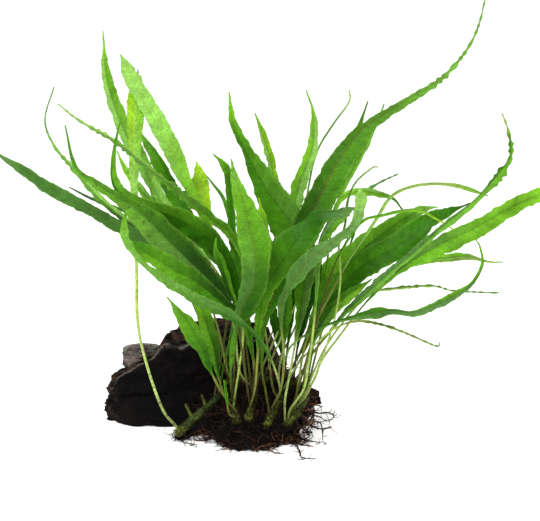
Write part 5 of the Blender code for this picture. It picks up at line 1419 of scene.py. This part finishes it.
class LineSet:
    """Lines with a radius and a colour at each point, to be grown into tubes."""

    def __init__(self) -> None:
        self.points: list[Array] = []
        self.radii: list[Array] = []
        self.colours: list[Array] = []
        self.edges: list[tuple[int, int]] = []
        self.count = 0

    def add(self, line: Array, radii: Array, colour: Array) -> None:
        """Adds one line.

        Args:
            line: Its points, in millimetres.
            radii: Radius at each point.
            colour: Its linear colour, or one for each point.
        """
        start = self.count
        self.points.append(line * MM)
        self.radii.append(radii * MM)
        self.colours.append(np.broadcast_to(colour, (len(line), 3)))
        self.edges.extend((start + i, start + i + 1) for i in range(len(line) - 1))
        self.count += len(line)

    def mesh(self, name: str, colour_name: str) -> Mesh:
        """The lines as a mesh of edges with their attributes."""
        mesh = bpy.data.meshes.new(name)
        mesh.from_pydata(np.concatenate(self.points).tolist(), self.edges, [])
        store(mesh, "root_radius", np.concatenate(self.radii))
        store(mesh, colour_name, np.concatenate(self.colours))
        return mesh


# ---------------------------------------------------------------- rhizomes

# Stalk stubs from foot to top, and the middle line and end radii of the moss cushion.
STUBS = (((-28.5, 4, 9), (-32.5, 7, 17)), ((-22, 8.7, 13.6), (-24.5, 12, 20.5)))
STUB_RADIUS = 0.85
MOSS_LINE = ((19, 24, 21), (26, 24, 23.5))
MOSS_RADII = (2.6, 2.2)


@dataclass(frozen=True)
class SpeckledFinish:
    """A damp plant skin or fibre with fine specks, dull and slightly rough.

    The specks are scales and algae, which break up an even colour. Colours come from the
    mesh, and the specks are laid over them in millimetres.
    """

    name: str
    attribute: str
    roughness: float
    speck_width: float
    speck_share: float
    relief_depth: float
    relief_strength: float = 0.6
    sheen: float = 0.15

    def material(self) -> Material:
        """Builds the finish and gives its material."""
        skin = Surface(self.name)
        specks = skin.noise(skin.place(), self.speck_width * MM, 3.0, 0.7)
        tone = skin.ramp(specks, 0.36, 0.64, 1.0 - self.speck_share, 1.0 + self.speck_share)
        toned = skin.shaded(skin.read(self.attribute), tone)
        return skin.finish(toned, specks, self.relief_strength, self.relief_depth,
                           {"Roughness": self.roughness, "Specular IOR Level": self.sheen})


RHIZOME_SKIN = SpeckledFinish("rhizome_skin", "skin_colour", roughness=0.6, speck_width=0.8,
                              speck_share=0.5, relief_depth=0.6)
RHIZOME_SCALES = SpeckledFinish("rhizome_scales", "root_colour", roughness=0.8, speck_width=0.6,
                                speck_share=0.3, relief_depth=0.2)
WIRY_ROOT = SpeckledFinish("fern_roots", "root_colour", roughness=0.75, speck_width=0.9,
                           speck_share=0.35, relief_depth=0.4)


@dataclass
class Rhizomes:
    """The creeping stems, green and speckled, with small brown scales and two cut stubs."""

    columns: int = 40
    spacing: float = 0.35
    radii: tuple = (2.5, 1.7)
    end_length: float = 0.8
    knob_width: float = 2.2
    knob_rise: float = 0.13
    ring_length: float = 3.4
    ring_rise: float = 0.05
    scale_length: float = 1.5
    scale_gap: float = 1.5
    moss_gap: float = 0.5
    moss_lean: float = 1.2

    def tube(self, line: Array, radii: tuple, seed: int) -> Array:
        """Rings of a knobbly tube with rounded ends.

        Args:
            line: Its centre line.
            radii: Its mean radius at the first end and at the last.
            seed: Makes its knobs its own.

        Returns:
            The rings.
        """
        length = line_length(line)
        shares = np.linspace(0.0, 1.0, max(int(length / self.spacing), 12))
        centres = along_line(line, shares)
        tangents = unit(np.gradient(centres, axis=0))
        side = unit(np.cross(tangents, (0.0, 0.0, 1.0)))
        up = np.cross(side, tangents)
        from_end = np.minimum(shares, 1.0 - shares) * length
        rounding = np.clip(from_end / (self.end_length * radii[0]), 0.03, 1.0)
        ends = np.sqrt(1.0 - (1.0 - rounding) ** 2)
        ends *= radii[0] + (radii[1] - radii[0]) * shares
        turn = np.linspace(0.0, 2.0 * math.pi, self.columns, endpoint=False)[:, None]
        ring = np.cos(turn) * side[:, None] + np.sin(turn) * up[:, None]
        surface = centres[:, None] + ends[:, None, None] * ring
        beat = shares * length * 2.0 * math.pi / self.ring_length
        knobs = self.knob_rise * rough_noise(surface / self.knob_width, seed, 3)
        knobs = knobs + self.ring_rise * np.sin(beat)[:, None]
        return centres[:, None] + (ends[:, None] * (1.0 + knobs))[..., None] * ring

    def scale(self, hue: Hue) -> Object:
        """One pointed scale that lies along its own x axis, to be scattered."""
        shares = np.linspace(0.0, 1.0, 7)[:, None]
        turn = np.linspace(0.0, 2.0 * math.pi, 6, endpoint=False)
        width = 0.28 * self.scale_length * np.sqrt(np.maximum(shares * (1.0 - shares), 0.003))
        grid = points_of(self.scale_length * shares, 2.0 * width * np.cos(turn),
                         0.25 + 0.5 * shares**2 + 0.5 * width * np.sin(turn))
        mesh = closed_mesh("scale", grid)
        tone = (0.5 + 0.9 * shares)[..., None] * hue.linear
        store(mesh, "root_colour", with_ends(np.broadcast_to(tone, grid.shape)))
        return add_object("scale", mesh)

    def stem(self, number: int, name: str) -> Mesh:
        """One rhizome with its colours, old and brown at its first end."""
        grid = self.tube(rhizome_line(name), self.radii, 70 + number)
        mesh = closed_mesh(f"rhizome_{name}_stem", grid)
        share = np.linspace(0.0, 1.0, len(grid))[:, None] + 0.25 * rough_noise(grid / 5.0, 81, 3)
        young = Hue.VERDIGRIS if name == "left" else Hue.RHIZOME
        colours = mix(Hue.RHIZOME_OLD.linear, young.linear, np.clip(share, 0.0, 1.0)[..., None])
        dark = 0.7 * soft_step(-0.25, 0.5, rough_noise(grid / 1.3, 83, 3))[..., None]
        store(mesh, "skin_colour", with_ends(mix(colours, Hue.RHIZOME_DARK.linear, dark)))
        return mesh

    def stub(self, number: int, ends: tuple) -> Mesh:
        """One cut stalk stub with its colours, dark at the cut."""
        grid = self.tube(np.array(ends, float), (STUB_RADIUS, 0.8 * STUB_RADIUS), 90 + number)
        mesh = closed_mesh(f"rhizome_left_stub_{number}", grid)
        share = np.linspace(0.0, 1.0, len(grid))[:, None, None] ** 2
        colours = mix(Hue.RHIZOME_OLD.linear, Hue.FOOT.linear, share)
        store(mesh, "skin_colour", with_ends(np.broadcast_to(colours, grid.shape)))
        return mesh

    def build(self, scatter: NodeTree) -> None:
        """Makes the rhizomes with their scales, the moss cushion and the stubs.

        Args:
            scatter: The growth tree that places the scales.
        """
        finish, scaly = RHIZOME_SKIN.material(), RHIZOME_SCALES.material()
        scale = self.scale(Hue.FOOT)
        for number, name in enumerate(RHIZOMES):
            mesh = self.stem(number, name)
            place_piece(mesh, finish, "rhizome", f"rhizome_{name}")
            place_piece(grown_mesh(f"rhizome_{name}_scales", mesh, scatter, {
                "Piece": scale, "Spacing": self.scale_gap * MM, "Seed": number,
                "Material": scaly}), scaly, "rhizome")
        bpy.data.objects.remove(scale)
        tuft = self.scale(Hue.MOSS)
        cushion = closed_mesh("moss", self.tube(np.array(MOSS_LINE, float), MOSS_RADII, 95))
        place_piece(grown_mesh("moss_cushion", cushion, scatter, {
            "Piece": tuft, "Spacing": self.moss_gap * MM, "Lean": self.moss_lean, "Seed": 5,
            "Material": scaly}), scaly, "rhizome")
        bpy.data.objects.remove(tuft)
        for number, ends in enumerate(STUBS, 1):
            place_piece(self.stub(number, ends), finish, "rhizome")


# ---------------------------------------------------------------- root mat

# The mat: its outline on the ground as (x, y), and the middle that its rings close in on.
MAT_OUTLINE = (
    (-38.5, -4), (-31, -3), (-25, -2.5), (-19, -7), (-14, -14), (-6, -18.5), (3, -19.5),
    (10, -18), (16, -10), (22, -11), (27, -8), (30.5, 0), (31.5, 11), (31, 22), (27, 33),
    (20, 37), (5, 37), (-9, 36), (-16, 34), (-21, 26), (-28, 16), (-35, 7), (-39, 1),
)
MAT_CENTRE = (0.0, 7.0)
# The height of its top from the front to the back, as (y, height), and its rings from the
# foot to the top, as shares of its width and height.
MAT_HEIGHTS = (
    (-22, 4), (-12, 7), (-5, 9.5), (3, 13), (10, 16.5), (18, 19.5), (30, 21.5), (40, 21),
)
MAT_RINGS = (
    (0.88, 0.0), (0.98, 0.1), (1.01, 0.3), (0.97, 0.6), (0.86, 0.86), (0.66, 0.97), (0.36, 1.0),
)
# To the left its top falls away, from a place on x, over a length and by a share.
LEFT_FALL_START = -12.0
LEFT_FALL_LENGTH = 26.0
LEFT_FALL = 0.52
MAT_LUMP = 0.7
# The six largest stray roots, as points of their middle lines.
STRANDS = (
    ((26, 10, 9), (36, 8, 12.5), (42, 7, 11), (40, 6, 8.5), (28, 3, 7)),
    ((27, 6, 8), (34, 3, 9), (36, 1, 4), (36.5, -1, 0.8)),
    ((24, -5, 3), (31, -8, 1.2), (38, -8, 0.8)),
    ((20, -6, 3), (24, -17, 0.8), (24.5, -27, 0.8), (27, -33, 0.8), (32, -34, 0.8)),
    ((-30, 0, 2.5), (-34, -5, 1.0), (-31, -9, 0.8), (-26, -13, 0.8)),
    ((4, -16, 2), (11, -22, 0.8), (16, -24, 0.8)),
)
STRAND_RADIUS = 0.55
# Tufts of loose roots: place, direction, longest root, how many and how thick.
TUFTS = (
    ((31, 8, 13), (1, -0.2, -0.2), 17, 4, 0.42),
    ((29, -2, 8), (1, -0.5, -0.4), 16, 5, 0.42),
    ((24, -9, 3), (0.9, -0.8, 0.1), 15, 6, 0.42),
    ((30, 17, 17), (1, -0.1, 0), 13, 4, 0.4),
    ((12, -16, 2), (0.2, -1, 0.1), 8, 10, 0.3),
    ((2, -18, 2), (-0.2, -1, 0.1), 7, 10, 0.3),
    ((-12, -13, 2), (-0.5, -1, 0.1), 8, 10, 0.3),
    ((-24, -2, 4), (-0.2, -1, 0), 6, 4, 0.3),
    ((20, 24, 22), (0.2, 0, 1), 9, 30, 0.25),
    ((15, 24, 27), (0.1, 0, 1), 19, 40, 0.22),
    ((4, 22, 24), (0, 0, 1), 13, 30, 0.22),
    ((-5, 20, 22), (0, 0, 1), 12, 20, 0.22),
)


@dataclass(frozen=True)
class FreeRoot:
    """A root that grows free from a point.

    start, aim: its first point and the direction that it sets out in.
    length, radius: its size, in millimetres.
    unrest, droop: how much it turns and how much it sinks at each step.
    """

    start: Array
    aim: Array
    length: float
    unrest: float
    droop: float
    radius: float


@dataclass
class RootMat:
    """The felt of wiry brown roots under the rhizomes.

    A lumpy core carries the roots, which are walked over its surface point by point and
    then grown into tubes by Geometry Nodes. The mat's two ends are thinly rooted in front.
    grid and outward are the points that the roots follow and the outward directions there.
    """

    around: int = 12
    rows: int = 70
    profile_steps: int = 16
    profile_size: tuple = (35.0, 20.0)
    fine_roots: int = 1300
    coarse_roots: int = 260
    hairs: int = 1300
    climbers: int = 260
    clearance: float = 3.1
    stem_room: float = 3.4
    forking: float = 0.25
    stride: float = 1.4
    free_stride: float = 0.7
    turning: float = 0.45
    lowest: float = 0.25
    left_end: float = -24.0
    front: float = 10.0
    seed: int = 11
    grid: Array = field(init=False)
    outward: Array = field(init=False)

    def core_grid(self) -> Array:
        """Rings of the core, from its foot on the ground to the middle of its top."""
        outline = smooth_rows(np.array(MAT_OUTLINE, float), self.around, closed=True)
        profile = smooth_rows(np.array((*MAT_RINGS, (0.02, 1.0)), float), self.profile_steps)
        runs = np.linalg.norm(np.diff(profile, axis=0) * self.profile_size, axis=1)
        measured = np.concatenate(((0.0,), np.cumsum(runs))) / runs.sum()
        even = np.linspace(0.0, 1.0, self.rows)
        shrink = np.interp(even, measured, profile[:, 0])
        rise = np.interp(even, measured, profile[:, 1])
        centre = np.array(MAT_CENTRE)
        flat = centre + shrink[:, None, None] * (outline - centre)
        x, y = flat[..., 0], flat[..., 1]
        fall = np.clip((LEFT_FALL_START - x) / LEFT_FALL_LENGTH, 0.0, 1.0)
        lumps = np.sin(0.55 * x + 0.3 * y) + np.sin(0.42 * y - 0.31 * x + 1.7)
        top = smooth_values(MAT_HEIGHTS, y) * (1.0 - LEFT_FALL * fall) + MAT_LUMP * lumps
        return np.stack((x, y, rise[:, None] * top), axis=-1)

    def core_mesh(self) -> Mesh:
        """The core with its colours. Sets the points and directions that the roots follow."""
        smooth = self.core_grid()
        outward = grid_normals(smooth)
        if outward[..., 2].mean() < 0.0:
            outward = -outward
        low = 1.0 - soft_step(4.0, 9.0, smooth[..., 2])
        low *= soft_step(-28.0, -20.0, smooth[..., 0])
        foot = low * (1.8 * rough_noise(smooth / 6.0, 103, 2) - 1.7)
        smooth = smooth + outward * foot[..., None]
        x, y, z = np.moveaxis(smooth, -1, 0)
        tongue = soft_step(24.0, 30.0, -x) * (1.0 - soft_step(1.0, 4.0, z))
        y += 2.6 * tongue * np.clip(-outward[..., 1], 0.0, 1.0)
        np.maximum(z, 0.0, out=z)
        bumps = ridged_noise(smooth / 4.4, 101, 4) - 1.1
        thin = np.maximum(soft_step(15.0, 24.0, -x), 1.3 * soft_step(22.0, 28.0, x))
        thin *= 1.0 - soft_step(12.0, 24.0, y)
        grid = smooth + outward * (1.5 * bumps - 0.5 - 4.5 * thin)[..., None]
        grid[..., 2] -= np.maximum(self.stem_room - stem_gaps(grid), 0.0)
        grid[..., 2] = np.maximum(grid[..., 2], 0.0)
        mesh = closed_mesh("root_core", grid)
        tone = 0.5 * soft_step(-0.2, 0.7, bumps)[..., None]
        # Darker from 3 to 11 mm up: painted shade under the rhizomes and stalks, as on the roots.
        tone = tone * (1.0 - 0.8 * soft_step(3.0, 11.0, grid[..., 2:]))
        store(mesh, "root_colour", with_ends(mix(Hue.ROOT_DARK.linear, Hue.ROOT.linear, tone)))
        self.grid, self.outward = smooth, outward
        return mesh

    def is_thinned(self, place: Array, random: np.random.Generator, right_end: float,
                   share: float) -> bool:
        """Whether a root that starts here is one of the share left out at the mat's ends."""
        at_end = not self.left_end < place[0] < right_end and place[1] < self.front
        return at_end and random.uniform() < share

    def walk(self, random: np.random.Generator, length: float, lift: float) -> Array:
        """A line that wanders over the core's surface.

        Args:
            random: Source of the wandering.
            length: Length of the line.
            lift: How far above the surface it lies.

        Returns:
            Its points.
        """
        grid, (rows, columns, _) = self.grid, self.grid.shape
        row = rows * random.uniform(0.0, 0.93) ** 0.8
        column = random.uniform(0.0, columns)
        heading = random.uniform(-math.pi, math.pi)
        points = []
        phase = random.uniform(0.0, 2.0 * math.pi)
        for step in range(int(length / self.stride)):
            i, j = int(row), int(column) % columns
            k = (j + 1) % columns
            m = min(i + 1, rows - 1)
            a, b = row - int(row), column - math.floor(column)
            near = ((1 - a) * (1 - b) * grid[i, j] + (1 - a) * b * grid[i, k]
                    + a * (1 - b) * grid[m, j] + a * b * grid[m, k])
            height = lift * (1.0 + 0.7 * math.sin(0.9 * step * self.stride + phase))
            points.append(near + height * self.outward[i, j])
            down_run = max(np.linalg.norm(grid[m, j] - grid[i, j]), 0.15)
            round_run = max(np.linalg.norm(grid[i, k] - grid[i, j]), 0.05)
            heading += random.normal(0.0, self.turning)
            row = row + math.cos(heading) * self.stride / down_run
            column = column + math.sin(heading) * self.stride / round_run
            if not 0.0 <= row < rows - 3:
                row = min(max(row, 0.0), rows - 3.01)
                heading = math.pi - heading
        return self.above_ground(points)

    def above_ground(self, points: list[Array]) -> Array:
        """A line of points, with those under the ground lifted onto it."""
        line = np.array(points)
        line[:, 2] = np.maximum(line[:, 2], self.lowest)
        return line

    def root_lines(self, count: int, radius: float, length: tuple, lift: float,
                   seed: int) -> LineSet:
        """Roots walked over the core.

        Args:
            count: How many.
            radius: Their mean radius.
            length: Shortest and longest.
            lift: How far above the core they lie at most.
            seed: Seed of the wandering.

        Returns:
            Their lines.
        """
        random = np.random.default_rng(seed)
        lines = LineSet()
        tones = (Hue.ROOT_DARK, Hue.ROOT_DARK, Hue.ROOT, Hue.ROOT, Hue.ROOT, Hue.ROOT_LIGHT)
        for _ in range(count):
            line = self.walk(random, random.uniform(*length), lift * random.uniform(0.1, 1.0))
            at_stem = np.cumsum(stem_gaps(line) < self.clearance)
            line = line[: len(line) - np.count_nonzero(at_stem)]
            if len(line) < 3 or self.is_thinned(line[0], random, right_end=23.0, share=0.88):
                continue
            share = np.linspace(0.0, 1.0, len(line))
            radii = radius * random.uniform(0.6, 1.3) * (1.0 - 0.6 * share**2)
            tone = tones[int(random.integers(len(tones)))].linear
            shade = 0.4 + 0.6 * (1.0 - soft_step(3.0, 11.0, line[:, 2:]))
            lines.add(line, radii, tone * shade * random.uniform(0.7, 1.3))
        return lines

    def wander(self, random: np.random.Generator, root: FreeRoot) -> Array:
        """The line of a free root, which turns a little at each step."""
        points = [root.start]
        aim = root.aim
        for _ in range(max(int(root.length / self.free_stride), 3)):
            aim = unit(aim + random.normal(0.0, root.unrest, 3) - (0.0, 0.0, root.droop))
            points.append(points[-1] + self.free_stride * aim)
        return self.above_ground(points)

    def free_roots(self, random: np.random.Generator) -> list[FreeRoot]:
        """Where the free roots start: the mat's hairs, its tufts, the hairs of its stray roots
        and the roots that climb between the stalks.

        Args:
            random: Source of their places.

        Returns:
            The roots.
        """
        grid, outward = self.grid, self.outward
        rows, columns, _ = grid.shape
        roots = []
        for _ in range(self.hairs):
            i, j = int(rows * random.uniform(0.0, 0.9) ** 1.6), int(random.integers(columns))
            length = 1.8 + random.exponential(2.4)
            if self.is_thinned(grid[i, j], random, right_end=24.0, share=0.7):
                continue
            roots.append(FreeRoot(grid[i, j] - 0.8 * outward[i, j], outward[i, j], length,
                                  unrest=0.35, droop=0.05, radius=0.2))
        for place, aim, reach, count, radius in TUFTS:
            for _ in range(count):
                start = np.array(place) + random.normal(0.0, 1.6, 3)
                way = unit(np.array(aim, float) + random.normal(0.0, 0.45, 3))
                roots.append(FreeRoot(start - 2.0 * way, way, reach * random.uniform(0.4, 1.0),
                                      unrest=0.3, droop=0.0, radius=radius))
        for route in STRANDS:
            for spot in smooth_rows(np.array(route, float), 4)[3:]:
                roots.append(FreeRoot(spot, unit(random.normal(0.0, 1.0, 3)),
                                      random.uniform(2.0, 7.0),
                                      unrest=0.35, droop=0.02, radius=0.2))
        for _ in range(self.climbers):
            i, j = int(rows * random.uniform(0.55, 0.99)), int(random.integers(columns))
            rise = random.uniform(3.0, 9.0) + 14.0 * random.uniform(0.0, 1.0) ** 3
            roots.append(FreeRoot(grid[i, j], np.array((0.0, 0.0, 1.0)), rise,
                                  unrest=0.28, droop=-0.06, radius=0.15))
        return roots

    def loose_roots(self, seed: int) -> LineSet:
        """The lines of the free roots and of the forks on the thicker ones."""
        random = np.random.default_rng(seed)
        lines = LineSet()
        roots = self.free_roots(random)
        while roots:
            root = roots.pop()
            line = self.wander(random, root)
            if root.radius > self.forking:
                for fork in line[3::4]:
                    side_way = unit(root.aim + random.normal(0.0, 0.9, 3))
                    reach = root.length * random.uniform(0.1, 0.45)
                    roots.append(FreeRoot(fork, side_way, reach, root.unrest, root.droop,
                                          0.55 * root.radius))
            share = np.linspace(0.0, 1.0, len(line))
            light_share = 0.7 if root.start[2] > 20.0 else 0.3
            tone = Hue.ROOT_LIGHT if random.uniform() < light_share else Hue.ROOT
            height = line[:, 2:]
            deep = soft_step(3.0, 12.0, height) * (1.0 - soft_step(20.0, 26.0, height))
            shade = (1.0 - 0.55 * deep) * (1.0 + 1.4 * soft_step(24.0, 30.0, line[:, :1]))
            lines.add(line, root.radius * random.uniform(0.7, 1.3) * (1.0 - 0.5 * share),
                      tone.linear * shade * random.uniform(0.6, 1.3))
        return lines

    def stray_roots(self) -> LineSet:
        """The six largest stray roots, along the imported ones."""
        lines = LineSet()
        for route in STRANDS:
            line = smooth_rows(np.array(route, float), 10)
            wobble = 0.9 * np.stack([rough_noise(line / 3.0, 201 + axis, 2)
                                     for axis in range(3)], axis=-1)
            line = line + wobble
            line[:, 2] = np.maximum(line[:, 2], 0.6)
            share = np.linspace(0.0, 1.0, len(line))
            lines.add(line, STRAND_RADIUS * (0.85 - 0.5 * share), Hue.ROOT.linear * 2.4)
        return lines

    def build(self, tubes: NodeTree) -> None:
        """Makes the mat and its roots.

        Args:
            tubes: The growth tree that turns lines into tubes.
        """
        finish = WIRY_ROOT.material()
        place_piece(self.core_mesh(), finish, "roots", "root_mat")
        fine = self.root_lines(self.fine_roots, radius=0.17, length=(6.0, 22.0), lift=1.3,
                               seed=self.seed)
        coarse = self.root_lines(self.coarse_roots, radius=0.34, length=(10.0, 30.0), lift=1.1,
                                 seed=self.seed + 1)
        loose = self.loose_roots(self.seed + 2)
        for name, lines, sides in (("roots_fine", fine, 4), ("roots_coarse", coarse, 6),
                                   ("roots_loose", loose, 4),
                                   ("roots_stray", self.stray_roots(), 8)):
            grown = grown_mesh(name, lines.mesh(f"{name}_lines", "root_colour"), tubes,
                               {"Sides": sides, "Material": finish})
            place_piece(grown, finish, "roots")


# ---------------------------------------------------------------- studio


@dataclass(frozen=True)
class Softbox:
    """One area light: where it stands, its size in millimetres and its power."""

    name: str
    place: tuple[float, float, float]
    size: float
    power: float


def stand(thing: Object, right: Array, up: Array, sight: Array, place: Array) -> None:
    """Puts a camera or lamp at a place, in millimetres, with these directions as its own."""
    axes = np.column_stack((right, up, -sight, place * MM))
    thing.matrix_world = Matrix(np.vstack((axes, (0.0, 0.0, 0.0, 1.0))).tolist())


@dataclass
class Studio:
    """White sweep, soft lights and the camera of the photograph."""

    lights: tuple = (
        Softbox("key", (-300.0, -350.0, 800.0), 350.0, 5.0),
        Softbox("fill", (600.0, -500.0, 350.0), 600.0, 0.8),
        Softbox("back", (0.0, 500.0, 600.0), 500.0, 1.0),
    )
    lit_point: tuple = (0.0, 0.0, 90.0)
    floor_half: float = 2500.0
    sweep_start: float = 1500.0
    sweep_radius: float = 500.0
    sweep_steps: int = 16
    floor_glow: float = 0.5
    world_light: float = 0.42
    far_clip: float = 20.0

    def floor(self) -> None:
        """A matt white sweep: level under the plant, then curved up behind it."""
        bend = np.linspace(0.0, math.pi / 2.0, self.sweep_steps)
        profile = [(-self.floor_half, 0.0)]
        profile += [(self.sweep_start + self.sweep_radius * math.sin(a),
                     self.sweep_radius * (1.0 - math.cos(a))) for a in bend]
        profile.append((self.sweep_start + self.sweep_radius, self.floor_half))
        points = [(x * MM, y * MM, z * MM) for y, z in profile
                  for x in (-self.floor_half, self.floor_half)]
        faces = [(2 * i, 2 * i + 1, 2 * i + 3, 2 * i + 2) for i in range(len(profile) - 1)]
        mesh = bpy.data.meshes.new("studio_floor")
        mesh.from_pydata(points, [], faces)
        mesh.shade_smooth()
        mesh.materials.append(Surface("white_paper").plain({
            "Base Color": (*Hue.FLOOR.linear, 1.0), "Roughness": 0.9,
            "Emission Color": (1.0, 1.0, 1.0, 1.0), "Emission Strength": self.floor_glow}))
        floor = add_object(mesh.name, mesh)

    def camera(self) -> None:
        """The camera, where the photograph was taken from."""
        data = bpy.data.cameras.new("camera")
        data.sensor_width = SENSOR_WIDTH
        data.sensor_fit = "HORIZONTAL"
        data.lens = SENSOR_WIDTH * EYE_DISTANCE / VIEW_WIDTH
        data.dof.use_dof = False
        data.clip_end = self.far_clip
        camera = add_object("camera", data)
        stand(camera, SHEET_RIGHT, SHEET_UP, SIGHT, EYE)
        bpy.context.scene.camera = camera

    def lamp(self, box: Softbox) -> None:
        """One soft light that looks at the plant."""
        data = bpy.data.lights.new(box.name, "AREA")
        data.shape = "DISK"
        data.size = box.size * MM
        data.energy = box.power
        place = np.array(box.place)
        aim = unit(np.array(self.lit_point) - place)
        side = unit(np.cross(aim, (0.0, 0.0, 1.0)))
        stand(add_object(box.name, data), side, np.cross(side, aim), aim, place)

    def build(self) -> None:
        """Sets up floor, camera and light."""
        self.floor()
        self.camera()
        for box in self.lights:
            self.lamp(box)
        scene = bpy.context.scene
        scene.view_settings.view_transform = "Standard"
        world = bpy.data.worlds.new("studio_world")
        scene.world = world
        world.use_nodes = True
        light = world.node_tree.nodes["Background"]
        light.inputs["Color"].default_value = (1.0, 1.0, 1.0, 1.0)
        light.inputs["Strength"].default_value = self.world_light


# ---------------------------------------------------------------- the whole object


@dataclass
class JavaFern:
    """The plant on its driftwood, dressed piece by piece."""

    def build(self) -> None:
        """Makes every piece."""
        tubes = tube_growth()
        scatter = scatter_growth()
        Driftwood().build()
        RootMat().build(tubes)
        Rhizomes().build(scatter)
        Fern().build()


def main() -> None:
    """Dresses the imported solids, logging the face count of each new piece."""
    logging.basicConfig(level=logging.INFO, format="%(name)s: %(message)s")
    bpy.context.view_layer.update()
    JavaFern().build()
    Studio().build()


if __name__ == "__main__":
    main()
